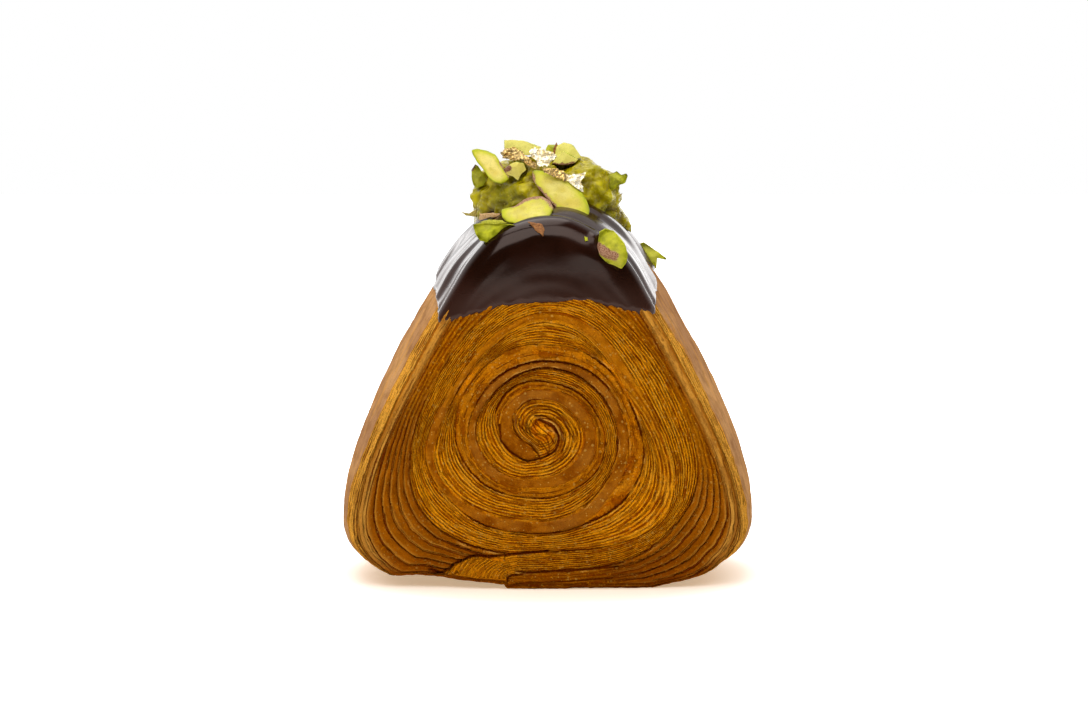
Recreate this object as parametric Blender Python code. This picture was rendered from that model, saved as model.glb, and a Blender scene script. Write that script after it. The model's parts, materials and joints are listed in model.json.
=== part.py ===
import math
import random

import bmesh
import bpy
from mathutils import Matrix, Vector, noise
from mathutils.bvhtree import BVHTree

# A laminated pastry roll baked in a triangular tin. It stands on one side, dipped in chocolate and
# topped with pistachio cream, nuts and gold leaf. Metres; X runs across it, Y into it and Z up.

# Rounded-triangle outline: each flat is its direction in degrees, its distance from the centre and
# how much nearer it is at the ends. The flat it stands on goes a little below the floor and is cut.
CENTRE_Z = 0.0340
HALF_DEPTH = 0.0280
CORNER_POWER = 6.2
BARREL_POWER = 2.4
RIM_ROUND = 0.0014
RIM_STEP = 0.3
SIDE_ROWS = (-0.82, -0.6, -0.3, 0.0, 0.3, 0.6, 0.82)
SIDE_FLATS = ((-90.0, 0.0342, 0.0), (-6.5, 0.0499, 0.0050), (29.3, 0.0370, 0.0058),
              (90.0, 0.0498, 0.0050), (150.7, 0.0370, 0.0058), (186.5, 0.0499, 0.0050))

# The rolled dough: one strip that winds inward from its loose tail at the bottom.
STEPS_PER_TURN = 60
TURNS = 4.6
TAIL_ANGLE = -103.0
TAIL_FRACTION = 0.89
SECOND_FRACTION = 0.76
TURN_FRACTION = 0.19
CENTRE_SHIFT = -0.0011
ROUND_RADIUS = 0.0320
ROUND_BELOW = 0.5
TAIL_LIFT = 0.0010
TAIL_STEP = 0.0005
INNERMOST = 0.03
GROOVE_DEPTH = 0.0010
MIDDLE_DEPTH = 0.0005
STRIP_ROWS = ((0.0, 1.0), (0.2, 0.12), (0.5, 0.35), (0.8, 0.0), (1.0, 1.0))

# Pieces that touch stay this far apart, and points closer than the merge distance become one.
GAP = 0.0003
MERGE_DISTANCE = 0.00003

# The dipped end: the chocolate's edge rises from the front to the back and is bowed on the front.
COAT_THICKNESS = 0.0005
COAT_LIP = 0.0003
COAT_TAPER = 0.0030
DIP_HEIGHT = 0.0570
DIP_RISE = 0.0115
DIP_RUN = 0.0160
DIP_TILT = 0.03
DIP_BOW = 0.0042
DIP_HALF_WIDTH = 0.0225
DIP_NEAR = 0.0084
DIP_WAVE = 0.0002
DIP_WAVES = (900.0, 620.0, 200.0)
KNIFE_HALF = 0.06
KNIFE_FLOOR = -0.05
KNIFE_CELLS = 40
COAT_ANGLES = ((-110, 20, 26), (20, 160, 5), (160, 250, 30))
COAT_FRONT = (0.45, 0.62, 0.78, 0.9)
COAT_BACK = (0.85, 0.6)

# The pistachio cream: a lumpy heap astride the ridge.
CREAM_CENTRE = (0.0009, 0.0030, 0.0802)
CREAM_RADII = (0.0172, 0.0172, 0.0124)
CREAM_POWER = 2.7
CREAM_LUMP = 0.0030
CREAM_LUMP_SIZE = 0.0085
CREAM_SHIFT = (3.1, 0.4, 7.7)
CREAM_DETAIL = 4

# Nut pieces: name, kind, centre, size (long, wide, thick), roll on the screen, lean back, if it lies.
# A piece that lies is moved along the depth onto what is behind it; one that stands stays put.
NUTS = (
    ("nut_slice_large", "half", (0.0028, -0.0170, 0.0842), (0.0160, 0.0074, 0.0050), -39, 30, True),
    ("nut_half_front", "half", (-0.0043, -0.0220, 0.0810), (0.0124, 0.0060, 0.0046), 17, 32, True),
    ("nut_slice_left", "half", (-0.0126, -0.0118, 0.0900), (0.0114, 0.0056, 0.0040), -44, 24, False),
    ("nut_green_front", "chunk", (-0.0114, -0.0238, 0.0765), (0.0100, 0.0052, 0.0050), 8, 30, True),
    ("nut_chunk_right", "chunk", (0.0142, -0.0240, 0.0728), (0.0090, 0.0064, 0.0056), -62, 20, True),
    ("nut_top", "chunk", (-0.0057, -0.0060, 0.0944), (0.0084, 0.0034, 0.0046), -8, 20, False),
    ("nut_chip_upper", "chunk", (0.0042, -0.0040, 0.0940), (0.0058, 0.0036, 0.0040), -24, 20, False),
    ("nut_chip_lower", "chunk", (0.0036, -0.0095, 0.0916), (0.0060, 0.0030, 0.0036), 10, 30, True),
    ("nut_pale_middle", "chunk", (-0.0078, -0.0120, 0.0889), (0.0058, 0.0040, 0.0042), 12, 20, True),
    ("nut_green_left", "chunk", (-0.0152, -0.0075, 0.0872), (0.0052, 0.0032, 0.0040), 72, 10, True),
    ("nut_green_right", "chunk", (0.0150, -0.0030, 0.0868), (0.0046, 0.0034, 0.0036), 66, 20, True),
    ("nut_bit_side", "chunk", (0.0226, -0.0010, 0.0710), (0.0060, 0.0046, 0.0040), -50, 10, False),
    ("nut_slice_back", "half", (-0.0040, 0.0200, 0.0842), (0.0150, 0.0070, 0.0046), 145, -30, True),
    ("nut_half_back", "half", (0.0078, 0.0180, 0.0880), (0.0120, 0.0056, 0.0042), 20, -24, True),
    ("nut_chunk_back", "chunk", (-0.0125, 0.0150, 0.0852), (0.0070, 0.0056, 0.0046), 50, -20, True),
    ("nut_green_back", "chunk", (0.0060, 0.0240, 0.0780), (0.0090, 0.0056, 0.0044), 15, -30, True),
    ("nut_top_back", "chunk", (0.0030, 0.0075, 0.0932), (0.0070, 0.0050, 0.0036), 30, -10, False),
)
NUT_SINK = {"half": 0.12, "chunk": 0.34}
NUT_DETAIL = {"half": 3, "chunk": 2}
NUT_SQUARENESS = {"half": 2.2, "chunk": 3.6}
NUT_CUT = -0.12
NUT_TAPER = 0.22
NUT_CLEARANCE = 0.0004
NUT_ROUGHNESS = 0.14
NUT_LUMPS = 1.3
NOISE_SPREAD = 9.0
OUTSIDE = 0.06

# Gold leaf: name, centre on the screen plane, long and wide sides, roll, and how deep it crinkles.
LEAVES = (
    ("gold_leaf_left", (-0.0066, 0.0922), (0.0078, 0.0040), 8, 0.0009),
    ("gold_leaf_middle", (-0.0010, 0.0912), (0.0062, 0.0038), -5, 0.0006),
    ("gold_leaf_strip", (0.0040, 0.0878), (0.0112, 0.0026), -25, 0.0004),
)
LEAF_THICKNESS = 0.0002
LEAF_CELL = 0.0008
LEAF_REACH = 0.0035
LEAF_CLEARANCE = 0.0005
LEAF_RAGGED = 0.25
LEAF_RAGS = 0.5
LEAF_WAVES = 0.0016
LEAF_NEIGHBOURS = (-0.0006, 0.0, 0.0006)
LEAF_SEED = 40


def material(name, color, roughness, metallic=0.0):
    made = bpy.data.materials.new(name)
    made.use_nodes = True
    shader = made.node_tree.nodes["Principled BSDF"]
    shader.inputs["Base Color"].default_value = (*color, 1.0)
    shader.inputs["Roughness"].default_value = roughness
    shader.inputs["Metallic"].default_value = metallic
    return made


def outline(angle, end_share=0.0, offset=0.0):
    """Distance from the centre to the outline; end_share 1 is the narrower end face."""
    total = 0.0
    for direction, distance, end_inset in SIDE_FLATS:
        facing = math.cos(math.radians(angle - direction))
        if facing > 0.0:
            total += (facing / (distance - end_inset * end_share + offset)) ** CORNER_POWER
    return total ** (-1.0 / CORNER_POWER)


def profile():
    """Rows over the side, front rim to back rim, as (share of the half depth, extra inset)."""
    rounding = RIM_ROUND / HALF_DEPTH
    rim = [(1.0, RIM_ROUND), (1.0 - RIM_STEP * rounding, RIM_STEP * RIM_ROUND), (1.0 - rounding, 0.0)]
    front = [(-share, inset) for share, inset in rim]
    middle = [(share, 0.0) for share in SIDE_ROWS]
    return front + middle + [(share, inset) for share, inset in reversed(rim)]


def mesh_object(name, points, faces):
    mesh = bpy.data.meshes.new(name)
    mesh.from_pydata([tuple(point) for point in points], [], faces)
    made = bpy.data.objects.new(name, mesh)
    bpy.context.scene.collection.objects.link(made)
    shape = bmesh.new()
    shape.from_mesh(mesh)
    bmesh.ops.triangulate(shape, faces=shape.faces[:])
    bmesh.ops.recalc_face_normals(shape, faces=shape.faces[:])
    shape.to_mesh(mesh)
    shape.free()
    return made


def cut_away(target, tool):
    cut = target.modifiers.new("cut", "BOOLEAN")
    cut.operation = "DIFFERENCE"
    cut.solver = "EXACT"
    cut.object = tool
    graph = bpy.context.evaluated_depsgraph_get()
    target.data = bpy.data.meshes.new_from_object(target.evaluated_get(graph))
    target.modifiers.clear()


def keep_largest(target):
    """Drop the loose scraps that a cut leaves, and split the faces into triangles."""
    shape = bmesh.new()
    shape.from_mesh(target.data)
    bmesh.ops.remove_doubles(shape, verts=shape.verts[:], dist=MERGE_DISTANCE)
    bmesh.ops.triangulate(shape, faces=shape.faces[:])
    unseen = set(shape.verts)
    bodies = []
    while unseen:
        front = [unseen.pop()]
        body = list(front)
        while front:
            vert = front.pop()
            for edge in vert.link_edges:
                other = edge.other_vert(vert)
                if other in unseen:
                    unseen.remove(other)
                    front.append(other)
                    body.append(other)
        bodies.append(body)
    bodies.sort(key=len)
    for body in bodies[:-1]:
        bmesh.ops.delete(shape, geom=body, context="VERTS")
    shape.to_mesh(target.data)
    shape.free()


def inflated(source, distance):
    """A copy of a piece, grown all round, that keeps the gap when it cuts its neighbour."""
    grown = source.copy()
    grown.data = source.data.copy()
    bpy.context.scene.collection.objects.link(grown)
    normals = [vert.normal.copy() for vert in grown.data.vertices]
    for vert, normal in zip(grown.data.vertices, normals):
        vert.co += normal * distance
    return grown


def surface_tree(pieces):
    points = []
    faces = []
    for piece in pieces:
        base = len(points)
        points += [vert.co.copy() for vert in piece.data.vertices]
        faces += [tuple(base + corner for corner in face.vertices) for face in piece.data.polygons]
    return BVHTree.FromPolygons(points, faces)


def discard(made):
    bpy.data.objects.remove(made, do_unlink=True)


# --- pastry ---

def strip_fraction(step):
    """Share of the outline's distance that the strip's outer edge has at a step from the tail."""
    turns = step / STEPS_PER_TURN - 1.0
    if turns < 0.0:
        return 1.0
    if turns < 1.0:
        return TAIL_FRACTION + (SECOND_FRACTION - TAIL_FRACTION) * turns
    return max(SECOND_FRACTION - TURN_FRACTION * (turns - 1.0), INNERMOST)


def section_point(step, row_share, y_share, inset):
    """A point of the roll's section at one depth; row_share crosses the strip, outside to inside."""
    angle = TAIL_ANGLE + 360.0 * step / STEPS_PER_TURN
    outer = strip_fraction(step)
    inner = strip_fraction(step + STEPS_PER_TURN)
    fraction = outer + (inner - outer) * row_share
    end_share = abs(y_share) ** BARREL_POWER
    rim = outline(angle, end_share, -inset)
    rim_share = max(0.0, fraction - ROUND_BELOW) / (1.0 - ROUND_BELOW)
    radius = fraction * (rim * rim_share + ROUND_RADIUS * (1.0 - rim_share))
    x = radius * math.cos(math.radians(angle)) + CENTRE_SHIFT * (1.0 - fraction)
    z = CENTRE_Z + radius * math.sin(math.radians(angle))
    tail_x = outline(TAIL_ANGLE) * math.cos(math.radians(TAIL_ANGLE))
    floor = TAIL_LIFT if x < tail_x - TAIL_STEP else 0.0
    return x, max(z, floor)


def end_face(side, y_share, inset, points, faces):
    """Add one spiral end face and return the indices round its rim."""
    last = round(TURNS * STEPS_PER_TURN)
    rows = len(STRIP_ROWS) - 1
    index = {}
    for step in range(last + STEPS_PER_TURN + 1):
        for row, (share, groove) in enumerate(STRIP_ROWS):
            if row and step > last:
                continue
            if row == 0 and step >= STEPS_PER_TURN:
                index[(step, 0)] = index[(step - STEPS_PER_TURN, rows)]
                continue
            x, z = section_point(step, share, y_share, inset)
            depth = 0.0 if row == 0 or step == 0 else GROOVE_DEPTH * groove
            index[(step, row)] = len(points)
            points.append((x, side * (HALF_DEPTH - depth), z))
    for step in range(last):
        for row in range(rows):
            faces.append((index[(step, row)], index[(step + 1, row)],
                          index[(step + 1, row + 1)], index[(step, row + 1)]))
    middle = len(points)
    points.append((CENTRE_SHIFT, side * (HALF_DEPTH - MIDDLE_DEPTH), CENTRE_Z))
    loop = [index[(step, 0)] for step in range(last, last + STEPS_PER_TURN + 1)]
    loop += [index[(last, row)] for row in range(rows - 1, 0, -1)]
    for first, second in zip(loop, loop[1:] + loop[:1]):
        faces.append((first, second, middle))
    rim = [index[(step, 0)] for step in range(STEPS_PER_TURN)]
    return rim + [index[(0, row)] for row in range(rows, 0, -1)]


def side_row(y_share, inset, points):
    """Add one row of points over the side, in the order of an end face's rim."""
    places = [(step, 0.0) for step in range(STEPS_PER_TURN)]
    places += [(0, share) for share, groove in reversed(STRIP_ROWS[1:])]
    first = len(points)
    for step, share in places:
        x, z = section_point(step, share, y_share, inset)
        points.append((x, y_share * HALF_DEPTH, z))
    return list(range(first, len(points)))


def pastry():
    points = []
    faces = []
    rings = profile()
    front = end_face(-1, *rings[0], points, faces)
    back = end_face(1, *rings[-1], points, faces)
    rows = [side_row(y_share, inset, points) for y_share, inset in rings[1:-1]]
    rows = [front] + rows + [back]
    for previous, current in zip(rows, rows[1:]):
        for place in range(len(current)):
            after = (place + 1) % len(current)
            faces.append((previous[place], previous[after], current[after], current[place]))
    made = mesh_object("pastry", points, faces)
    made.data.materials.append(material("pastry", (0.42, 0.19, 0.045), 0.6))
    return made


# --- chocolate and cream ---

def dip_height(x, y):
    """Height of the chocolate's edge over a place of the plan."""
    across = min(abs(x) / DIP_HALF_WIDTH, 1.0)
    nearness = max(0.0, 1.0 - (y + HALF_DEPTH) / DIP_NEAR)
    first, second, slant = DIP_WAVES
    wave = DIP_WAVE * (math.sin(x * first) + math.sin(y * second + x * slant))
    rise = DIP_RISE * (1.0 - math.exp(-(y + HALF_DEPTH) / DIP_RUN))
    return DIP_HEIGHT + rise + DIP_TILT * x + DIP_BOW * (1.0 - across ** 2) * nearness + wave


def smooth_body(name, inner, outer):
    """The roll without its spiral, grown by the inner distance at the dip and outer well above it."""
    angles = [angle for spread in COAT_ANGLES for angle in range(*spread)]
    rows = [(-1.0, share, RIM_ROUND) for share in COAT_FRONT]
    rows += [(y_share, 1.0, inset) for y_share, inset in profile()]
    rows += [(1.0, share, RIM_ROUND) for share in COAT_BACK]
    points = []
    for y_share, share, inset in rows:
        for angle in angles:
            spots = []
            for offset in (inner, outer):
                radius = share * outline(angle, abs(y_share) ** BARREL_POWER, offset - inset)
                x = radius * math.cos(math.radians(angle))
                z = CENTRE_Z + radius * math.sin(math.radians(angle))
                spots.append(Vector((x, y_share * (HALF_DEPTH + offset), z)))
            above = (spots[0].z - dip_height(spots[0].x, spots[0].y)) / COAT_TAPER
            points.append(spots[0].lerp(spots[1], min(max(above, 0.0), 1.0)))
    count = len(angles)
    faces = []
    for row in range(len(rows) - 1):
        for place in range(count):
            after = (place + 1) % count
            faces.append((row * count + place, row * count + after,
                          (row + 1) * count + after, (row + 1) * count + place))
    faces.append(tuple(range(count)))
    faces.append(tuple(range((len(rows) - 1) * count, len(rows) * count)))
    return mesh_object(name, points, faces)


def dip_knife():
    """Everything below the chocolate's edge, to be cut away from the coat."""
    cells = KNIFE_CELLS
    points = []
    for level in range(2):
        for row in range(cells + 1):
            for column in range(cells + 1):
                x = KNIFE_HALF * (2.0 * column / cells - 1.0)
                y = KNIFE_HALF * (2.0 * row / cells - 1.0)
                points.append((x, y, dip_height(x, y) if level else KNIFE_FLOOR))
    side = cells + 1
    faces = []
    for level in range(2):
        base = level * side * side
        for row in range(cells):
            for column in range(cells):
                first = base + row * side + column
                faces.append((first, first + 1, first + side + 1, first + side))
    for along in range(cells):
        for first, second in ((along, along + 1), (cells * side + along, cells * side + along + 1),
                              (along * side, (along + 1) * side),
                              (along * side + cells, (along + 1) * side + cells)):
            faces.append((first, second, second + side * side, first + side * side))
    return mesh_object("dip_knife", points, faces)


def chocolate():
    made = smooth_body("chocolate_coat", GAP + COAT_LIP, GAP + COAT_THICKNESS)
    core = smooth_body("core", GAP, GAP)
    knife = dip_knife()
    cut_away(made, core)
    cut_away(made, knife)
    keep_largest(made)
    discard(core)
    discard(knife)
    made.data.materials.append(material("chocolate", (0.022, 0.010, 0.006), 0.22))
    return made


def cream():
    shape = bmesh.new()
    bmesh.ops.create_icosphere(shape, subdivisions=CREAM_DETAIL, radius=1.0)
    for vert in shape.verts:
        way = vert.co.normalized()
        spread = sum(abs(part) ** CREAM_POWER for part in way) ** (-1.0 / CREAM_POWER)
        place = Vector([way[axis] * spread * CREAM_RADII[axis] for axis in range(3)])
        lump = noise.noise(place / CREAM_LUMP_SIZE + Vector(CREAM_SHIFT))
        vert.co = place + way * (CREAM_LUMP * lump) + Vector(CREAM_CENTRE)
    mesh = bpy.data.meshes.new("pistachio_cream")
    shape.to_mesh(mesh)
    shape.free()
    made = bpy.data.objects.new("pistachio_cream", mesh)
    bpy.context.scene.collection.objects.link(made)
    made.data.materials.append(material("cream", (0.30, 0.25, 0.02), 0.3))
    return made


# --- nuts ---

def seated(centre, depth, tree):
    """The centre, moved along Y until the piece stands out by a depth from the surface behind it."""
    way = -1.0 if centre[1] > 0.0 else 1.0
    start = Vector((centre[0], -OUTSIDE * way, centre[2]))
    spot = tree.ray_cast(start, Vector((0.0, way, 0.0)))[0]
    if spot is None:
        return Vector(centre)
    return Vector((centre[0], spot.y - way * depth, centre[2]))


def nut_mesh(name, kind, size, seed):
    """A pistachio piece about its centre: a half kernel with a flat cut face, or an angular chunk."""
    draw = random.Random(seed)
    shape = bmesh.new()
    bmesh.ops.create_icosphere(shape, subdivisions=NUT_DETAIL[kind], radius=1.0)
    boxes = NUT_SQUARENESS[kind]
    shift = Vector([draw.uniform(0.0, NOISE_SPREAD) for axis in range(3)])
    for vert in shape.verts:
        way = vert.co.normalized()
        spread = sum(abs(part) ** boxes for part in way) ** (-1.0 / boxes)
        rough = 1.0 + NUT_ROUGHNESS * noise.noise(way * NUT_LUMPS + shift)
        vert.co = way * spread * rough
        if kind == "half":
            vert.co.y = max(vert.co.y, NUT_CUT)
            vert.co.z *= 1.0 - NUT_TAPER * max(way.x, 0.0)
        vert.co.x *= size[0] / 2.0
        vert.co.z *= size[1] / 2.0
        vert.co.y *= size[2] / 2.0
    mesh = bpy.data.meshes.new(name)
    shape.to_mesh(mesh)
    shape.free()
    return mesh


def nuts(coat_clear, heap):
    made = []
    tools = []
    tree = surface_tree([coat_clear, heap])
    kinds = {"half": material("nut_cut", (0.74, 0.62, 0.17), 0.5),
             "chunk": material("nut_green", (0.24, 0.24, 0.02), 0.45)}
    for number, (name, kind, centre, size, roll, lean, lies) in enumerate(NUTS):
        piece = bpy.data.objects.new(name, nut_mesh(name, kind, size, number))
        bpy.context.scene.collection.objects.link(piece)
        turn = Matrix.Rotation(math.radians(-lean), 4, "X")
        if centre[1] > 0.0:
            turn = turn @ Matrix.Rotation(math.pi, 4, "Z")
        turn = turn @ Matrix.Rotation(math.radians(-roll), 4, "Y")
        place = Vector(centre)
        if lies:
            place = seated(centre, size[2] * (0.5 - NUT_SINK[kind]), tree)
        piece.data.transform(Matrix.Translation(place) @ turn)
        piece.data.update()
        tool = inflated(piece, NUT_CLEARANCE)
        cut_away(piece, coat_clear)
        for spot, reach, other in tools:
            if (spot - place).length < (reach + size[0]) / 2.0 + NUT_CLEARANCE:
                cut_away(piece, other)
        keep_largest(piece)
        tools.append((place, size[0], tool))
        piece.data.materials.clear()
        piece.data.materials.append(kinds[kind])
        made.append(piece)
    return made, [tool for spot, reach, tool in tools]


# --- gold leaf ---

def gold_leaf(name, centre, size, roll, crinkle, tree, seed):
    """A crinkled scrap that lies against what is behind it, as seen from the front."""
    columns = max(3, round(size[0] / LEAF_CELL))
    rows = max(3, round(size[1] / LEAF_CELL))
    draw = random.Random(seed)
    shift = Vector([draw.uniform(0.0, NOISE_SPREAD) for axis in range(3)])
    turn = math.radians(roll)
    spots = {}
    for row in range(rows + 1):
        for column in range(columns + 1):
            along = (column / columns - 0.5) * size[0]
            across = (row / rows - 0.5) * size[1]
            ragged = noise.noise(Vector((column * LEAF_RAGS, row * LEAF_RAGS, 0.0)) + shift)
            ragged = 1.0 + LEAF_RAGGED * ragged
            x = centre[0] + (along * math.cos(turn) - across * math.sin(turn)) * ragged
            z = centre[1] + (along * math.sin(turn) + across * math.cos(turn)) * ragged
            hits = []
            for dx in LEAF_NEIGHBOURS:
                for dz in LEAF_NEIGHBOURS:
                    start = Vector((x + dx, -OUTSIDE, z + dz))
                    spot = tree.ray_cast(start, Vector((0.0, 1.0, 0.0)))[0]
                    if spot is not None:
                        hits.append(spot.y)
            spots[(row, column)] = (x, min(hits, default=0.0), z)
    deepest = min(y for x, y, z in spots.values()) + LEAF_REACH
    points = []
    for layer in range(2):
        for (row, column), (x, y, z) in spots.items():
            wave = crinkle * noise.noise(Vector((x, 0.0, z)) / LEAF_WAVES + shift)
            depth = min(y, deepest) - LEAF_CLEARANCE - abs(wave) - LEAF_THICKNESS * layer
            points.append((x, depth, z))
    count = (rows + 1) * (columns + 1)
    faces = []
    for row in range(rows):
        for column in range(columns):
            first = row * (columns + 1) + column
            above = first + columns + 1
            for base in (0, count):
                faces.append((base + first, base + first + 1, base + above + 1))
                faces.append((base + first, base + above + 1, base + above))
    edge = list(range(columns))
    edge += [row * (columns + 1) + columns for row in range(rows)]
    edge += [rows * (columns + 1) + column for column in range(columns, 0, -1)]
    edge += [row * (columns + 1) for row in range(rows, 0, -1)]
    for first, second in zip(edge, edge[1:] + edge[:1]):
        faces.append((first, second, second + count, first + count))
    made = mesh_object(name, points, faces)
    made.data.materials.append(material(name, (0.83, 0.58, 0.22), 0.25, 1.0))
    return made


def centre_on_floor():
    """Stand everything on Z = 0, with the middle of the whole box over the origin."""
    corners = [vert.co for made in bpy.data.objects for vert in made.data.vertices]
    low = Vector([min(spot[axis] for spot in corners) for axis in range(3)])
    high = Vector([max(spot[axis] for spot in corners) for axis in range(3)])
    middle = (low + high) / 2.0
    for made in bpy.data.objects:
        made.data.transform(Matrix.Translation((-middle.x, -middle.y, -low.z)))


def main():
    for old in list(bpy.data.objects):
        discard(old)
    pastry()
    chocolate()
    heap = cream()
    over_coat = GAP + COAT_THICKNESS + GAP
    coat_clear = smooth_body("coat_clear", over_coat, over_coat)
    cut_away(heap, coat_clear)
    pieces, tools = nuts(coat_clear, heap)
    discard(coat_clear)
    for tool in tools:
        cut_away(heap, tool)
        discard(tool)
    keep_largest(heap)
    behind = pieces + [heap]
    for number, (name, centre, size, roll, crinkle) in enumerate(LEAVES):
        tree = surface_tree(behind)
        behind.append(gold_leaf(name, centre, size, roll, crinkle, tree, number + LEAF_SEED))
    centre_on_floor()


main()
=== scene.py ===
import json
import math
import random

import bmesh
import bpy
import numpy as np
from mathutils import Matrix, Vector
from mathutils.bvhtree import BVHTree

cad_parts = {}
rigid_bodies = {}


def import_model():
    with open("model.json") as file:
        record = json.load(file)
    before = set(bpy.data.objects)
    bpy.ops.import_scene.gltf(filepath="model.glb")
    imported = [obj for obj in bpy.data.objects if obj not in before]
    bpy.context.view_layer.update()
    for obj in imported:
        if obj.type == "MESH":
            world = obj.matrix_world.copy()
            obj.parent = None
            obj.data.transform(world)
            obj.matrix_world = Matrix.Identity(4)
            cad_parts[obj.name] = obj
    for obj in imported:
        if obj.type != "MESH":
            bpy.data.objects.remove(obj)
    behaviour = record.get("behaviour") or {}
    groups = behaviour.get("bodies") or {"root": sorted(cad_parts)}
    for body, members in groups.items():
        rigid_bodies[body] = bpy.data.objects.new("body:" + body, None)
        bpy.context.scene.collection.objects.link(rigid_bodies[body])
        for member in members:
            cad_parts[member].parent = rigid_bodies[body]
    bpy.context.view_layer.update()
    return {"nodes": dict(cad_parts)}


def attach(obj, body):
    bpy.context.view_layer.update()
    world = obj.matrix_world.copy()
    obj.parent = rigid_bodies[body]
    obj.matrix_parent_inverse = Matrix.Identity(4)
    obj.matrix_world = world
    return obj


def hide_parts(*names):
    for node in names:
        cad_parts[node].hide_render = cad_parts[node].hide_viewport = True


# A laminated pastry roll on its flat side: cut spiral face, chocolate cap, pistachio cream, nuts and gold.
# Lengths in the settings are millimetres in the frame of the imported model.

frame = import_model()
mm = 0.001


# helpers for shapes

def softNoise(place, size, seed):
    # smooth noise from -1 to 1 at points (..., 3) given in millimetres
    spot = np.asarray(place, float) / size + seed * 17.13
    cell = np.floor(spot).astype(np.int64)
    part = spot - cell
    part = part * part * (3.0 - 2.0 * part)
    total = 0.0
    for corner in range(8):
        step = np.array([corner & 1, corner >> 1 & 1, corner >> 2 & 1])
        key = cell + step
        mixed = key[..., 0] * 374761393 + key[..., 1] * 668265263 + key[..., 2] * 2147483647 + seed * 974711
        mixed = (mixed ^ (mixed >> 13)) * 1274126177 & 0x7FFFFFFF
        value = ((mixed ^ (mixed >> 16)) & 0xFFFF) / 32767.5 - 1.0
        weight = np.prod(np.where(step == 1, part, 1.0 - part), axis=-1)
        total = total + value * weight
    return total


def ease(value, low, high):
    share = np.clip((np.asarray(value, float) - low) / (high - low), 0.0, 1.0)
    return share * share * (3.0 - 2.0 * share)


def makePiece(name, points, faces, finish, smooth=True):
    mesh = bpy.data.meshes.new(name)
    mesh.from_pydata((np.asarray(points, float) * mm).tolist(), [], faces)
    mesh.validate()
    mesh.update()
    if smooth:
        mesh.polygons.foreach_set("use_smooth", [True] * len(mesh.polygons))
    piece = bpy.data.objects.new(name, mesh)
    bpy.context.scene.collection.objects.link(piece)
    mesh.materials.append(finish)
    return piece


def addMask(piece, name, values, domain="POINT"):
    made = piece.data.attributes.new(name, "FLOAT", domain)
    made.data.foreach_set("value", np.asarray(values, np.float32).ravel())


def gridFaces(columns, rows, closed=False):
    # quads of a grid whose points are stored column by column
    faces = []
    for column in range(columns if closed else columns - 1):
        here = column * rows
        after = (column + 1) % columns * rows
        faces += [(here + row, after + row, after + row + 1, here + row + 1) for row in range(rows - 1)]
    return faces


def keptPart(points, faces):
    # the points that some face uses, and the faces with their new numbers
    used = np.unique(np.array(faces))
    renumber = np.full(len(points), -1)
    renumber[used] = np.arange(len(used))
    return used, renumber[np.array(faces)].tolist()


def onPiece(piece, slotName, *nodes):
    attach(piece, "root")
    if nodes:
        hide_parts(*nodes)


# helpers for finishes

def newGroup(name, inputs, outputs):
    # inputs by name with their defaults, None for a vector; every output is a number
    group = bpy.data.node_groups.new(name, "ShaderNodeTree")
    for label, default in inputs.items():
        kind = "NodeSocketVector" if default is None else "NodeSocketFloat"
        socket = group.interface.new_socket(label, in_out="INPUT", socket_type=kind)
        if default is not None:
            socket.default_value = default
    for label in outputs:
        group.interface.new_socket(label, in_out="OUTPUT", socket_type="NodeSocketFloat")
    return group, group.nodes.new("NodeGroupInput").outputs, group.nodes.new("NodeGroupOutput").inputs


def put(tree, target, value):
    if isinstance(value, bpy.types.NodeSocket):
        tree.links.new(value, target)
    else:
        target.default_value = value


def calc(tree, kind, first, second=0.0, third=0.0, clamp=False):
    node = tree.nodes.new("ShaderNodeMath")
    node.operation = kind
    node.use_clamp = clamp
    for socket, value in zip(node.inputs, (first, second, third)):
        put(tree, socket, value)
    return node.outputs[0]


def times(tree, first, *others):
    for other in others:
        first = calc(tree, "MULTIPLY", first, other)
    return first


def highest(tree, first, *others):
    for other in others:
        first = calc(tree, "MAXIMUM", first, other)
    return first


def scaled(tree, value, amount, added):
    return calc(tree, "MULTIPLY_ADD", value, amount, added)


def centred(tree, noise):
    return calc(tree, "SUBTRACT", noise, 0.5)


def between(tree, value, low, high, outLow=0.0, outHigh=1.0):
    node = tree.nodes.new("ShaderNodeMapRange")
    node.interpolation_type = "SMOOTHSTEP"
    put(tree, node.inputs[0], value)
    for socket, number in zip(node.inputs[1:5], (low, high, outLow, outHigh)):
        put(tree, socket, number)
    return node.outputs[0]


def blend(tree, share, first, second, mode="MIX"):
    node = tree.nodes.new("ShaderNodeMix")
    node.data_type = "RGBA"
    node.blend_type = mode
    put(tree, node.inputs[0], share)
    for socket, colour in ((node.inputs[6], first), (node.inputs[7], second)):
        put(tree, socket, colour if isinstance(colour, bpy.types.NodeSocket) else (*colour, 1.0))
    return node.outputs[2]


def paint(tree, body, *coats):
    # lays colours over one another, each by its own share
    for share, colour in coats:
        body = blend(tree, share, body, colour)
    return body


def paintByMasks(tree, masks, base, coats):
    # a base colour, then coats: mask, value where the coat starts, value where it is full, share, colour
    body = toLinear(*base)
    for name, start, full, share, colour in coats:
        amount = masks[name] if full is None else between(tree, masks[name], start, full)
        if share < 1.0:
            amount = times(tree, amount, share)
        body = blend(tree, amount, body, toLinear(*colour))
    return body


def mottle(tree, place, size, detail=2.0, rough=0.5):
    # noise around 0.5 with patches of about size millimetres; place is in millimetres
    node = tree.nodes.new("ShaderNodeTexNoise")
    put(tree, node.inputs["Vector"], place)
    for label, value in (("Scale", 1.0 / size), ("Detail", detail), ("Roughness", rough)):
        node.inputs[label].default_value = value
    return node.outputs[0]


def readMask(tree, name):
    node = tree.nodes.new("ShaderNodeAttribute")
    node.attribute_name = name
    return node.outputs["Fac"]


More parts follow.
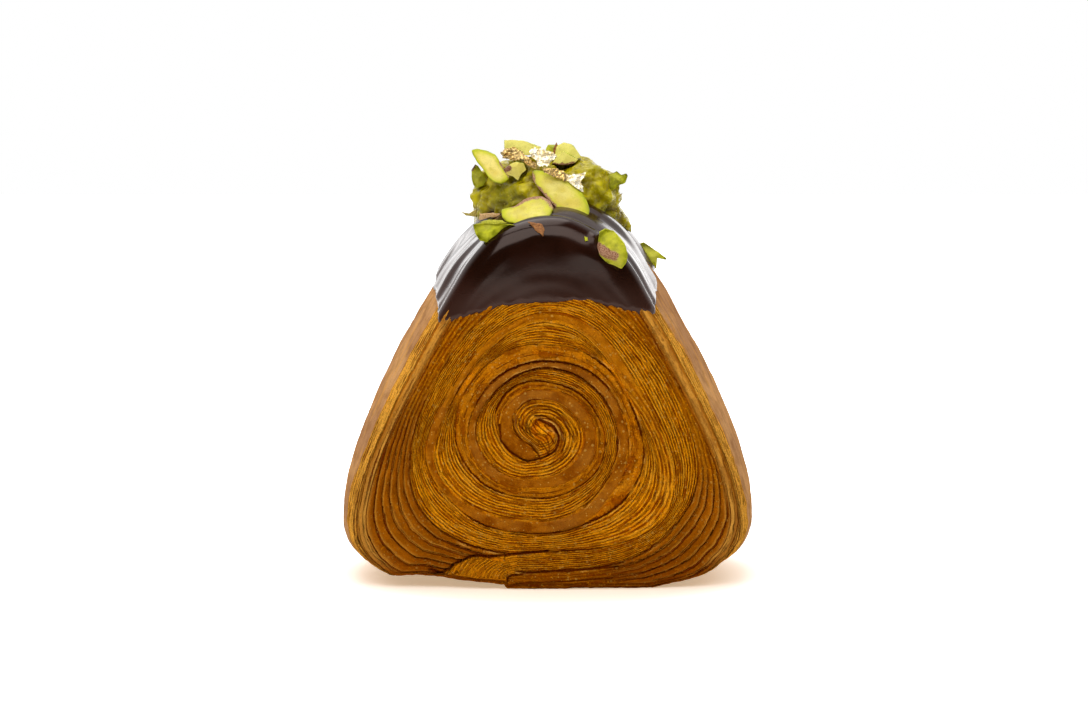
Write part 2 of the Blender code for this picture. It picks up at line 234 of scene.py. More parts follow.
def placeInMillimetres(tree):
    where = tree.nodes.new("ShaderNodeTexCoord")
    scale = tree.nodes.new("ShaderNodeVectorMath")
    scale.operation = "SCALE"
    tree.links.new(where.outputs["Object"], scale.inputs[0])
    scale.inputs["Scale"].default_value = 1000.0
    return scale.outputs[0]


def newFinish(name, **sockets):
    finish = bpy.data.materials.new(name)
    finish.use_nodes = True
    shader = finish.node_tree.nodes["Principled BSDF"]
    for label, value in sockets.items():
        shader.inputs[label.replace("_", " ")].default_value = value
    return finish, finish.node_tree, shader


def bumpFrom(tree, height, distance, strength=1.0):
    node = tree.nodes.new("ShaderNodeBump")
    node.inputs["Strength"].default_value = strength
    node.inputs["Distance"].default_value = distance * mm
    put(tree, node.inputs["Height"], height)
    return node.outputs[0]


def useGroup(tree, group, **inputs):
    node = tree.nodes.new("ShaderNodeGroup")
    node.node_tree = group
    for label, value in inputs.items():
        put(tree, node.inputs[label.replace("_", " ")], value)
    return node.outputs


def toLinear(*colour):
    # 0-255 screen colour to the shader's linear numbers
    shares = (value / 255.0 for value in colour)
    return tuple(c / 12.92 if c <= 0.04045 else ((c + 0.055) / 1.055) ** 2.4 for c in shares)


def finishUp(tree, shader, body, roughness, height, bump):
    # hands the colour, the roughness and the bump to the shader
    tree.links.new(body, shader.inputs["Base Color"])
    put(tree, shader.inputs["Roughness"], roughness)
    tree.links.new(bumpFrom(tree, height, bump), shader.inputs["Normal"])


# camera and light

print("camera and light")
studio = {
    "target": (-0.9, 0.0, 46.6), "distance": 730.0, "elevation": 4.5, "lens": 109.09, "sensor": 36.0,
    "nearClip": 10.0,
    # the white wall behind lights the sides; the camera's side of the room is dim
    "skyBack": 1.15, "skyFront": 0.05, "skyChange": (-0.15, 0.45),
    # the floor's two tones and their patches; its glow grows with the distance from the middle
    "floor": (0.84, 0.84, 0.835), "floorPale": (0.88, 0.88, 0.875), "floorPatch": 40.0,
    "floorGlow": (0.5, 1.0), "floorFade": (45.0, 240.0), "floorBounce": 0.22,
    # painted bounce light: close to the pastry the floor's glow is tinted warm
    "floorPaintedBounce": (1.0, 0.74, 0.48), "paintedBounceReach": (58.0, 40.0),
    "floorCorners": ((-3000, -330, 0), (3000, -330, 0), (3000, 3000, 0), (-3000, 3000, 0)),
    # name, place, aim, width, height, watts
    "lamps": (
        ("frontLamp", (-90.0, -820.0, 820.0), (0.0, 0.0, 45.0), 1200.0, 800.0, 9.2),
        ("leftLamp", (-440.0, 820.0, 200.0), (0.0, 0.0, 60.0), 300.0, 520.0, 1.15),
        ("rightLamp", (440.0, 820.0, 200.0), (0.0, 0.0, 60.0), 300.0, 520.0, 1.35),
        ("topLamp", (-80.0, 20.0, 900.0), (0.0, 0.0, 60.0), 760.0, 620.0, 4.6),
    ),
}


def aimed(made, place, target):
    made.location = Vector(place) * mm
    made.rotation_euler = (Vector(target) - Vector(place)).to_track_quat("-Z", "Y").to_euler()
    bpy.context.scene.collection.objects.link(made)


def makeStudio():
    lens = bpy.data.cameras.new("photoCamera")
    lens.lens = studio["lens"]
    lens.sensor_width = studio["sensor"]
    lens.clip_start = studio["nearClip"] * mm
    camera = bpy.data.objects.new("photoCamera", lens)
    lift = math.radians(studio["elevation"])
    target = Vector(studio["target"])
    away = Vector((0.0, -math.cos(lift), math.sin(lift))) * studio["distance"]
    aimed(camera, target + away, target)
    bpy.context.scene.camera = camera
    for name, place, aim, width, height, watts in studio["lamps"]:
        light = bpy.data.lights.new(name, "AREA")
        light.shape = "RECTANGLE"
        light.size = width * mm
        light.size_y = height * mm
        light.energy = watts
        aimed(bpy.data.objects.new(name, light), place, aim)
    bpy.context.scene.view_settings.view_transform = "Standard"
    makeSky()
    makeFloor()


def makeSky():
    white = (1.0, 1.0, 1.0, 1.0)
    world = bpy.data.worlds.new("studioSky")
    world.use_nodes = True
    tree = world.node_tree
    sky = tree.nodes["Background"]
    way = tree.nodes.new("ShaderNodeTexCoord")
    split = tree.nodes.new("ShaderNodeSeparateXYZ")
    tree.links.new(way.outputs["Generated"], split.inputs[0])
    level = between(tree, split.outputs[1], *studio["skyChange"], studio["skyFront"], studio["skyBack"])
    tree.links.new(level, sky.inputs["Strength"])
    sky.inputs["Color"].default_value = white
    backdrop = tree.nodes.new("ShaderNodeBackground")
    backdrop.inputs["Color"].default_value = white
    seen = tree.nodes.new("ShaderNodeLightPath")
    mix = tree.nodes.new("ShaderNodeMixShader")
    for start, end in zip((seen.outputs["Is Camera Ray"], sky.outputs[0], backdrop.outputs[0]), mix.inputs):
        tree.links.new(start, end)
    tree.links.new(mix.outputs[0], tree.nodes["World Output"].inputs["Surface"])
    bpy.context.scene.world = world


def makeFloor():
    # a pale sweep that glows more with distance, so that it runs into the backdrop
    finish, tree, shader = newFinish("paleFloor", Roughness=0.5)
    place = placeInMillimetres(tree)
    grain = mottle(tree, place, studio["floorPatch"])
    put(tree, shader.inputs["Base Color"], blend(tree, grain, studio["floor"], studio["floorPale"]))
    away = tree.nodes.new("ShaderNodeVectorMath")
    away.operation = "LENGTH"
    tree.links.new(place, away.inputs[0])
    glow = between(tree, away.outputs["Value"], *studio["floorFade"], *studio["floorGlow"])
    glowTone = blend(tree, glow, (0.0, 0.0, 0.0), (1.0, 1.0, 1.0))
    # painted bounce light: the floor's glow is tinted warm close to the pastry
    near = between(tree, away.outputs["Value"], *studio["paintedBounceReach"])
    paintedBounceTint = blend(tree, near, (1.0, 1.0, 1.0), studio["floorPaintedBounce"])
    tree.links.new(blend(tree, 1.0, glowTone, paintedBounceTint, "MULTIPLY"), shader.inputs["Emission Color"])
    seen = tree.nodes.new("ShaderNodeLightPath")
    shine = calc(tree, "MAXIMUM", seen.outputs["Is Camera Ray"], studio["floorBounce"])
    put(tree, shader.inputs["Emission Strength"], shine)
    floor = makePiece("floor", studio["floorCorners"], [(0, 1, 2, 3)], finish)


makeStudio()


# the roll: outline, and the spiral of its layers

roll = {
    "centreHeight": 34.0, "halfDepth": 28.0, "rimRound": 1.4, "cornerPower": 6.2, "barrelPower": 2.4,
    # outward direction in degrees, distance from the centre, how much nearer at the ends
    "flats": ((-90.0, 34.2, 0.0), (-6.5, 49.9, 5.0), (29.3, 37.0, 5.8), (90.0, 49.8, 5.0), (150.7, 37.0, 5.8),
              (186.5, 49.9, 5.0)),
    "tailAngle": -103.0, "centreShift": -1.1, "roundReach": 31.0, "roundShare": 0.45, "roundPower": 1.6,
    # how much is taken off the lower corners, by direction in degrees
    "cornerTrim": ((205.0, 0.0), (210.0, 0.3), (214.0, 0.9), (219.0, 1.5), (226.0, 1.0), (236.0, 0.0),
                   (303.0, 0.0), (314.0, 1.1), (322.0, 2.1), (328.0, 1.2), (334.0, 0.1), (338.0, 0.0)),
    # how far the roll hangs over the floor left of its tail, by turns
    "lift": ((0.0, 0.0), (0.6, 0.0), (0.8, 1.5), (0.92, 2.6), (0.942, 2.0), (0.962, 1.3), (0.982, 1.0),
             (0.9925, 0.9), (0.9945, 0.0), (1.0, 0.0)),
    # how far the layers at the two lower corners stand back
    "droop": ((0.0, 0.0), (0.06, 0.1), (0.12, 1.4), (0.18, 3.6), (0.23, 1.6), (0.3, 0.2), (0.7, 0.2),
              (0.8, 1.0), (0.87, 3.6), (0.92, 2.6), (0.96, 0.8), (1.0, 0.3)),
    # the droop's share at the back, where it starts on the way out and how it grows
    "backDroop": 0.4, "droopFrom": 0.74, "droopPower": 1.6,
    "columns": 480,
    # rows of points: start and end of each stretch of the path, and how many
    "rows": ((0.0, 0.30, 60), (0.30, 0.80, 68), (0.80, 1.0, 46), (1.0, 2.0, 6), (2.0, 2.1, 18),
             (2.1, 2.95, 28), (2.95, 3.0, 5), (3.0, 4.0, 5)),
    "backRows": 60,
}

spiral = {
    "layers": 10, "rimLayers": 8, "rollWidth": 1.8,
    # where the loose fold runs inward: turns from the tail, share of the way out from the centre
    "fold": (
        (-1, 0.911), (-0.907, 0.898), (-0.884, 0.881), (-0.824, 0.853), (-0.796, 0.86), (-0.745, 0.903),
        (-0.699, 0.903), (-0.63, 0.89), (-0.537, 0.848), (-0.444, 0.826), (-0.329, 0.829),
        (-0.282, 0.838), (-0.248, 0.848), (-0.213, 0.851), (-0.178, 0.844), (-0.132, 0.829),
        (-0.109, 0.823), (-0.062, 0.827), (-0.028, 0.836), (0.014, 0.806),
        (0.046, 0.786), (0.076, 0.791), (0.139, 0.808), (0.197, 0.818), (0.266, 0.775), (0.289, 0.748),
        (0.324, 0.716), (0.37, 0.697), (0.405, 0.703), (0.435, 0.724), (0.463, 0.737), (0.579, 0.729),
        (0.671, 0.708), (0.694, 0.708), (0.729, 0.72), (0.787, 0.775), (0.81, 0.78), (0.833, 0.767),
        (0.856, 0.741), (0.88, 0.72), (0.903, 0.712), (0.938, 0.719), (0.972, 0.711), (1, 0.696),
        (1.069, 0.68), (1.104, 0.658), (1.139, 0.66), (1.174, 0.655), (1.25, 0.658), (1.324, 0.61),
        (1.359, 0.599), (1.389, 0.606), (1.451, 0.593), (1.486, 0.591), (1.509, 0.58), (1.532, 0.576),
        (1.59, 0.6), (1.613, 0.606), (1.671, 0.612), (1.718, 0.624), (1.787, 0.617),
        (1.822, 0.601), (1.856, 0.572), (1.914, 0.538), (1.949, 0.504), (2, 0.471), (2.127, 0.444),
        (2.167, 0.449), (2.208, 0.444), (2.278, 0.413), (2.312, 0.388), (2.352, 0.368), (2.394, 0.362),
        (2.463, 0.341), (2.498, 0.336), (2.521, 0.338), (2.556, 0.355), (2.637, 0.379), (2.745, 0.362),
        (2.787, 0.324), (2.856, 0.283), (2.88, 0.273), (2.914, 0.249), (2.944, 0.241), (2.972, 0.211),
        (3, 0.192), (3.069, 0.16), (3.116, 0.156), (3.139, 0.143), (3.231, 0.109), (3.266, 0.101),
        (3.312, 0.085), (3.4, 0.075), (3.7, 0.06), (4.0, 0.045)),
    # the smooth band inside the fold: its outer and inner edges
    "bandOuter": (
        (1.104, 0.658), (1.139, 0.623), (1.162, 0.595), (1.197, 0.591), (1.324, 0.54), (1.44, 0.508),
        (1.486, 0.491), (1.521, 0.483), (1.602, 0.487), (1.741, 0.517), (1.787, 0.538), (1.822, 0.534),
        (1.856, 0.523), (1.88, 0.504), (1.926, 0.477), (2, 0.399), (2.069, 0.389), (2.185, 0.385),
        (2.22, 0.377), (2.301, 0.343), (2.417, 0.309), (2.509, 0.292), (2.544, 0.292), (2.579, 0.304),
        (2.671, 0.321), (2.792, 0.319), (2.856, 0.283)),
    "bandInner": (
        (0, 0.75), (0.046, 0.743), (0.116, 0.75), (0.197, 0.746), (0.227, 0.737), (0.255, 0.718),
        (0.278, 0.686), (0.312, 0.648), (0.347, 0.618), (0.37, 0.612), (0.405, 0.624), (0.475, 0.674),
        (0.509, 0.693), (0.544, 0.697), (0.579, 0.689), (0.625, 0.669), (0.671, 0.659), (0.694, 0.661),
        (0.741, 0.678), (0.769, 0.694), (0.799, 0.729), (0.815, 0.736), (0.845, 0.723), (0.868, 0.696),
        (1, 0.619), (1.046, 0.61), (1.116, 0.567), (1.15, 0.542), (1.174, 0.529), (1.243, 0.508),
        (1.37, 0.457), (1.417, 0.446), (1.463, 0.444), (1.509, 0.436), (1.556, 0.439), (1.59, 0.432),
        (1.625, 0.436), (1.671, 0.433), (1.718, 0.453), (1.752, 0.474), (1.787, 0.483), (1.81, 0.474),
        (1.88, 0.436), (1.949, 0.377), (2, 0.326), (2.035, 0.321), (2.069, 0.304), (2.104, 0.292),
        (2.266, 0.275), (2.37, 0.232), (2.417, 0.22), (2.521, 0.214), (2.556, 0.22), (2.59, 0.232),
        (2.625, 0.239), (2.729, 0.231), (2.792, 0.208), (2.856, 0.152), (2.891, 0.139), (2.926, 0.139),
        (2.961, 0.147), (2.984, 0.171)),
    # how deep the gap under each of the three lines is along the turns
    "foldGap": ((-1.0, 0.6), (-0.85, 0.7), (-0.7, 0.35), (-0.3, 0.35), (-0.15, 0.6), (-0.06, 0.9), (0.0, 1.0),
                (0.08, 0.6), (0.2, 0.15), (0.35, 0.15), (0.6, 0.25), (0.85, 0.35), (0.97, 0.9), (1.08, 1.0),
                (1.2, 0.7), (1.35, 0.9), (1.5, 0.6), (1.6, 0.5), (1.75, 0.4), (1.9, 0.7), (2.0, 0.9),
                (2.3, 0.8), (2.5, 0.9), (2.7, 0.8), (2.76, 0.3), (2.85, 0.9), (3.1, 1.0), (3.3, 1.0),
                (3.45, 0.6), (3.6, 0.0)),
    "outerGap": ((1.1, 0.0), (1.2, 0.4), (1.35, 0.8), (1.5, 1.15), (1.62, 1.1), (1.72, 0.7), (1.8, 0.25),
                 (2.0, 0.2), (2.5, 0.4), (2.8, 0.3)),
    "innerGap": ((0.0, 0.1), (0.3, 0.2), (0.6, 0.3), (0.68, 0.7), (0.76, 0.6), (0.85, 0.3), (1.0, 0.3),
                 (1.1, 0.6), (1.2, 0.95), (1.5, 1.1), (1.62, 1.0), (1.75, 0.6), (1.9, 0.4), (2.1, 0.45),
                 (2.5, 0.4), (2.65, 0.7), (2.85, 0.5), (2.98, 0.3)),
    "gapDepth": 0.75, "gapWidth": 0.30, "gapReach": 1.3,
    # the lines that run with the turns: table, gap table, first and last turn, height of the lip outside
    "lines": {"fold": ("fold", "foldGap", -2.0, 9.0, 0.28),
              "outer": ("bandOuter", "outerGap", 1.1, 2.86, 0.22),
              "inner": ("bandInner", "innerGap", 0.0, 2.98, 0.22)},
    "lipAt": 0.75, "lipWidth": 0.5,
    # share of thick corner layers round the turn
    "corner": ((0.0, 0.2), (0.08, 0.3), (0.14, 0.85), (0.2, 1.0), (0.27, 0.25), (0.7, 0.3), (0.8, 0.8),
               (0.88, 1.0), (0.94, 0.9), (1.0, 0.3)),
    # the rolled edge along the rim: depth of the gap behind it
    "rimGap": 0.6,
    # layers on the side: those used up round the edge, width of one, reach of the layered strip
    "edgeLayers": 1.7, "sideLayer": 0.95, "sideReach": (3.6, 5.0), "cornerReach": 4.0,
    # relief in millimetres: noise size, height and seed
    "roughness": ((2.3, 0.10, 3), (0.8, 0.09, 5)), "waves": (9.0, 0.25, 8), "layerWaver": (6.0, 0.4, 11),
    "sideWaves": (7.0, 0.22, 14), "sideDents": (1.1, 0.2, 15), "roundTheRoll": 260.0,
}

# single folds and gaps on the cut face: width, depth, share of painted shade and share of painted highlight
# along each, then the points (x, z)
cutFolds = (
    # the last folds in the middle of the roll
    ((0.3, 0.9, 1.0, 0.0), (
        (-10.4, 35.4), (-10.1, 32.1), (-8.3, 29.8), (-5.7, 28.1), (-4.5, 27.5), (-3.1, 27.9), (-1.5, 28.2),
        (0.0, 28.9), (1.5, 29.8), (2.2, 31.4), (2.3, 33.0), (1.6, 34.1), (0.9, 35.0), (0.0, 35.4),
        (-0.9, 35.9), (-1.9, 36.5))),
    ((0.26, 0.5, 0.8, 0.0), (
        (-7.5, 36.4), (-7.2, 34.2), (-5.7, 32.1), (-3.7, 31.0), (-2.2, 29.3), (-1.9, 28.6))),
    ((0.2, 0.35, 0.7, 0.0), (
        (-6.3, 36.8), (-6.3, 35.4), (-4.9, 34.1), (-3.1, 32.7), (-1.5, 31.8), (-0.6, 30.5), (0.0, 29.3))),
    ((0.2, 0.35, 0.6, 0.0), (
        (-5.2, 37.3), (-5.4, 35.7), (-4.6, 34.5), (-2.8, 33.3), (-1.2, 32.4), (-0.3, 31.3))),
    ((0.18, 0.3, 0.6, 0.0), ((-4.1, 37.4), (-4.6, 36.0), (-4.0, 34.8), (-2.5, 33.6), (-0.9, 33.0))),
    ((0.18, -0.1, 0.0, 0.6), (
        (-6.9, 37.6), (-7.0, 35.4), (-6.0, 33.5), (-4.0, 31.9), (-2.5, 30.7), (-1.4, 29.0))),
    ((0.26, 0.5, 0.9, 0.0), (
        (-2.8, 37.4), (-1.5, 37.4), (-0.6, 37.3), (0.3, 36.7), (1.3, 36.3), (2.4, 35.1), (3.2, 33.6))),
    ((0.3, -0.3, 0.0, 0.8), ((-2.2, 37.0), (-0.6, 36.5), (0.9, 35.7), (1.8, 34.8), (2.7, 33.6), (3.3, 32.4))),
    ((0.22, 0.35, 0.7, 0.0), (
        (-3.7, 38.0), (-2.2, 38.6), (0.3, 38.8), (2.1, 37.9), (3.6, 36.0), (4.5, 34.2), (5.4, 32.4))),
    ((0.18, 0.25, 0.5, 0.0), (
        (-4.8, 38.9), (-2.8, 39.6), (-0.3, 39.6), (2.4, 38.5), (4.2, 36.8), (5.8, 34.5), (6.4, 32.7))),
    ((0.2, 0.3, 0.6, 0.0), ((4.8, 30.5), (3.9, 28.7), (2.4, 27.5), (0.3, 26.9))),
    ((0.2, 0.3, 0.6, 0.0), ((3.3, 33.3), (3.6, 31.5), (2.9, 29.3), (1.8, 28.1))),
    ((0.22, -0.15, 0.0, 0.6), (
        (0.9, 29.5), (1.8, 30.2), (2.1, 31.8), (1.9, 33.3), (0.9, 34.2), (-0.6, 34.2))),
    ((0.2, 0.3, 0.7, 0.0), ((-2.2, 33.4), (-0.6, 33.3), (0.0, 31.8), (0.3, 29.9))),
    ((0.17, 0.25, 0.7, 0.0), ((-3.8, 36.5), (-2.6, 34.4), (-0.4, 32.5), (0.4, 30.5), (0.0, 29.7))),
    ((0.17, 0.25, 0.75, 0.0), ((-2.6, 36.3), (-1.7, 34.8), (0.4, 33.1), (1.3, 31.4))),
    ((0.17, 0.25, 0.7, 0.0), ((-4.7, 35.7), (-3.8, 33.5), (-2.1, 31.8), (-0.9, 30.1))),
    ((0.16, 0.25, 0.8, 0.0), (
        (-2.1, 35.2), (-2.8, 35.7), (-2.6, 36.5), (-1.7, 36.7), (-0.6, 36.2), (0.3, 35.3))),
    ((0.15, 0.2, 0.7, 0.0), ((-0.8, 35.4), (-0.2, 34.6), (0.7, 34.0))),
    # the tail: the gap over the wedge, the top of the lowest sheet, its own split and its blunt end
    ((0.38, 1.1, 1.0, 0.0), (
        (-25.5, 4.0), (-22.9, 3.2), (-21.5, 4.1), (-20.2, 5.3), (-18.8, 6.0), (-17.1, 6.8), (-15.5, 7.1),
        (-12.8, 6.9), (-10.7, 7.2), (-7.7, 7.5), (-4.8, 7.9), (0.0, 8.3))),
    ((0.28, 0.6, 0.9, 0.0), (
        (-9.0, 1.0), (-8.7, 2.6), (-7.7, 3.1), (-5.8, 3.3), (-2.9, 3.7), (2.6, 4.1), (9.0, 4.4),
        (15.0, 4.9))),
    ((0.2, 0.35, 0.7, 0.0), (
        (-7.2, 1.2), (-6.2, 1.4), (-3.9, 1.6), (-1.9, 1.5), (2.6, 1.7), (8.0, 2.0), (14.0, 2.4))),
    ((0.45, 1.6, 1.0, 0.0), ((-10.6, 0.2), (-9.6, 1.2), (-9.2, 1.0), (-8.9, 0.0))),
    ((0.25, 0.4, 0.8, 0.0), ((-19.4, 3.6), (-20.6, 2.8))),
)

wedge = {  # the thin end of the roll: its outline on the cut face and the centre its layers curl about
    "outline": ((-22.3, 2.6), (-21.5, 3.8), (-20.2, 5.0), (-18.8, 5.7), (-17.1, 6.5), (-15.5, 6.8),
                (-13.6, 6.7), (-11.6, 6.4), (-8.7, 5.9), (-7.2, 4.8), (-7.7, 3.4), (-8.7, 2.8), (-9.1, 1.4),
                (-11.6, 1.0), (-17.5, 1.0), (-20.4, 1.6)),
    # its layers run on from the right and turn down: height of the sheet below it and of the gap above it
    "low": 3.0, "high": 7.4, "length": 8.0, "under": 7.0, "proud": 0.3, "slabEnd": -9.0,
    # the outline within which the tail's layers take over
    "reachTo": ((-22.9, 3.2), (-21.5, 4.1), (-20.2, 5.3), (-18.8, 6.0), (-17.1, 6.8), (-15.5, 7.1),
                (-12.8, 6.9), (-10.7, 7.2), (-7.7, 7.5), (-4.8, 7.9), (-4.8, 0.0), (-22.9, 0.0)),
}


def outlineAt(turn, endShare):
    angle = roll["tailAngle"] + 360.0 * turn
    total = 0.0
    for way, distance, endInset in roll["flats"]:
        facing = np.maximum(np.cos(np.radians(angle - way)), 0.0)
        total = total + (facing / (distance - endInset * endShare)) ** roll["cornerPower"]
    reach = total ** (-1.0 / roll["cornerPower"]) - np.interp(np.mod(angle, 360.0), *zip(*roll["cornerTrim"]))
    down = np.maximum(-np.sin(np.radians(angle)), 1e-4)
    lift = np.interp(np.mod(turn, 1.0), *zip(*roll["lift"]))
    return np.minimum(reach, (roll["centreHeight"] - lift) / down)


def softRim(turn):
    # the outline with its corners eased, for the layers inside
    return sum(outlineAt(turn + shift, 1.0) for shift in (-0.04, -0.024, -0.008, 0.008, 0.024, 0.04)) / 6.0


def ringReach(ring, rim, soft):
    # distance from the centre of a ring, which is round inside and takes the rim's shape further out
    rim = soft + (rim - soft) * ease(ring, 0.78, 0.99)
    share = np.clip((ring - roll["roundShare"]) / (1.0 - roll["roundShare"]), 0.0, 1.1) ** roll["roundPower"]
    return ring * (rim * share + roll["roundReach"] * (1.0 - share))


def rollPlaces(turns, path, rimRound):
    # nominal points over the whole roll: path runs 0-1 over the front face from the middle out,
    # 1-2 round the front rim, 2-3 over the side, 3-4 round the back rim and 4-5 to the back's middle
    halfDepth = roll["halfDepth"]
    turn = turns[:, None]
    angle = np.radians(roll["tailAngle"] + 360.0 * turn)
    rim = outlineAt(turn, 1.0)
    soft = softRim(turn)
    edge = outlineAt(turn, ((halfDepth - rimRound) / halfDepth) ** roll["barrelPower"])
    trial = np.linspace(0.0, 1.05, 400)
    lastRing = [np.interp(r - rimRound, ringReach(trial, r, s), trial) for r, s in zip(rim[:, 0], soft[:, 0])]
    lastRing = np.array(lastRing)[:, None]
    droop = np.interp(np.mod(turns, 1.0), *zip(*roll["droop"]))[:, None]
    backDroop = roll["backDroop"]
    inner = np.minimum(path, 5.0 - path)[None, :]
    face = inner <= 1.0
    ring = lastRing * np.clip(inner, 0.0, 1.0)
    reachFace = ringReach(ring, rim, soft)
    bend = np.radians(90.0 * np.clip(inner - 1.0, 0.0, 1.0))
    reachRim = rim - rimRound + (edge - rim + rimRound) * np.sin(bend)
    along = np.clip(path[None, :] - 2.0, 0.0, 1.0)
    front = -halfDepth + rimRound + droop
    depth = front + (halfDepth * 2.0 - rimRound * 2.0 - droop * (1.0 + backDroop)) * along
    reachSide = outlineAt(turn, np.abs(np.clip(depth / halfDepth, -1.0, 1.0)) ** roll["barrelPower"])
    side = inner > 2.0
    reach = np.where(face, reachFace, np.where(side, reachSide, reachRim))
    curve = rimRound * (1.0 - np.cos(bend))
    outerShare = np.clip((ring / lastRing - roll["droopFrom"]) / (1.0 - roll["droopFrom"]), 0.0, 1.0)
    fall = droop * outerShare ** roll["droopPower"]
    flatFront = -halfDepth + np.where(face, fall, droop + curve)
    flatBack = halfDepth - np.where(face, fall * backDroop, droop * backDroop + curve)
    y = np.where(side, depth, np.where(path[None, :] < 2.5, flatFront, flatBack))
    ringOut = np.where(face, ring, 1.0)
    x = reach * np.cos(angle) + roll["centreShift"] * (1.0 - ringOut)
    z = roll["centreHeight"] + reach * np.sin(angle)
    place = np.stack([x, y, np.maximum(z, 0.0)], -1)
    fromEdge = np.minimum(depth - front, (halfDepth - rimRound - droop * backDroop) - depth)
    return place, np.broadcast_to(ringOut, x.shape), np.where(side, np.maximum(fromEdge, 0.0), 0.0)


def outward(place, closed):
    # directions out of a grid of places
    if closed:
        across = np.roll(place, -1, 0) - np.roll(place, 1, 0)
    else:
        across = np.gradient(place, axis=0)
    along = np.gradient(place, axis=1)
    way = np.cross(along, across)
    size = np.linalg.norm(way, axis=-1, keepdims=True)
    way = np.where(size > 1e-9, way / np.maximum(size, 1e-9), np.array([0.0, -1.0, 0.0]))
    return way


def lineAt(table, turn):
    # a table read with its corners rounded a little
    return sum(np.interp(turn + shift, *zip(*table)) for shift in (-0.018, 0.0, 0.018)) / 3.0


def layerKnots(turn):
    # rings of the spiral's lines at one place of the turn, from the rim inward, with their layer counts
    count = spiral["layers"]
    foldRing = [lineAt(spiral["fold"], turn + k) for k in range(-1, 5)]
    rings = [1.04, foldRing[0]]
    layers = [-count - spiral["rimLayers"], -count]
    for k in range(3):
        t = turn + k
        outerShare = float(ease(t, 1.1, 1.3) * (1.0 - ease(t, 2.7, 2.86))) if k else 0.0
        outerRing = innerRing = foldRing[k + 1]
        if outerShare > 0.0:
            outerRing = min(lineAt(spiral["bandOuter"], t), foldRing[k + 1])
        if t < 2.984:
            innerRing = min(lineAt(spiral["bandInner"], t), outerRing)
        even = count * (foldRing[k + 1] - innerRing) / max(foldRing[k + 1] - foldRing[k + 2], 1e-6)
        settled = float(ease(t, 0.16, 0.42))
        inner = (even * (1.0 - settled) + (1.8 * outerShare + 1.4) * settled) * float(1.0 - ease(t, 2.9, 3.0))
        rings += [foldRing[k + 1], outerRing, innerRing]
        layers += [k * count, k * count + 1.8 * outerShare, k * count + inner]
    rings += [foldRing[4], foldRing[5], 0.0]
    layers += [3 * count, 3 * count + 7, 3 * count + 8]
    return np.array(rings), np.array(layers, float)


def distanceToLine(x, z, line):
    best = np.full(x.shape, 1e9)
    for (ax, az), (bx, bz) in zip(line, line[1:]):
        dx, dz = bx - ax, bz - az
        share = np.clip(((x - ax) * dx + (z - az) * dz) / (dx * dx + dz * dz), 0.0, 1.0)
        best = np.minimum(best, np.hypot(x - ax - share * dx, z - az - share * dz))
    return best


def insideOutline(x, z, line):
    # distance into a closed outline, negative outside
    closed = tuple(line) + (line[0],)
    inside = np.zeros(x.shape, bool)
    for (ax, az), (bx, bz) in zip(closed, closed[1:]):
        crosses = (az > z) != (bz > z)
        at = ax + (z - az) * (bx - ax) / (bz - az if bz != az else 1e-9)
        inside ^= crosses & (x < at)
    away = distanceToLine(x, z, closed)
    return np.where(inside, away, -away)


def bump(away, width):
    return np.exp(-(away / width) ** 2)


def noiseOf(place, settings):
    size, height, seed = settings
    return height * softNoise(place, size, seed)


def spiralColumns(turns, reach, ring, rim, soft):
    # along every column: the layer count, the lines with their gates and distances, the lips and the bands
    layer, band, yellow, lift = (np.zeros(ring.shape) for _ in range(4))
    lines = {name: np.zeros(ring.shape) for name in spiral["lines"]}
    gate = {name: np.zeros(ring.shape) for name in spiral["lines"]}
    nearest = {name: np.full(ring.shape, 9.0) for name in spiral["lines"]}
    for column, turn in enumerate(turns):
        rings, layers = layerKnots(turn)
        here = ring[column]
        layer[column] = np.interp(-here, -rings, layers)
        for k in range(-1, 4):
            t = turn + k
            for name, (table, depths, first, last, raised) in spiral["lines"].items():
                if not first < t < last:
                    continue
                away = reach[column] - ringReach(lineAt(spiral[table], t), rim[column, 0], soft[column])
                depth = lineAt(spiral[depths], t)
                lines[name][column] = np.maximum(lines[name][column], depth * bump(away, spiral["gapWidth"]))
                gate[name][column] = np.maximum(gate[name][column], depth * bump(away, spiral["gapReach"]))
                lift[column] += raised * depth * bump(away - spiral["lipAt"], spiral["lipWidth"])
                known = nearest[name][column]
                nearest[name][column] = np.where(np.abs(away) < np.abs(known), away, known)
        for k in range(3):
            t = turn + k
            topRing, midRing, lowRing = rings[2 + 3 * k:5 + 3 * k]
            inBand = ease(midRing - here, 0.0, 0.012) * ease(here - lowRing, 0.0, 0.012)
            strength = 0.1 + 0.9 * ease(t, 0.22, 0.44)
            if 0.3 < t < 0.75:
                strength *= 0.8
            band[column] = np.maximum(band[column], inBand * strength)
            inYellow = ease(topRing - here, 0.0, 0.012) * ease(here - midRing, -0.004, 0.012)
            yellow[column] = np.maximum(yellow[column], inYellow * ease(topRing - midRing, 0.004, 0.03))
    return layer, lines, gate, nearest, lift, band, yellow


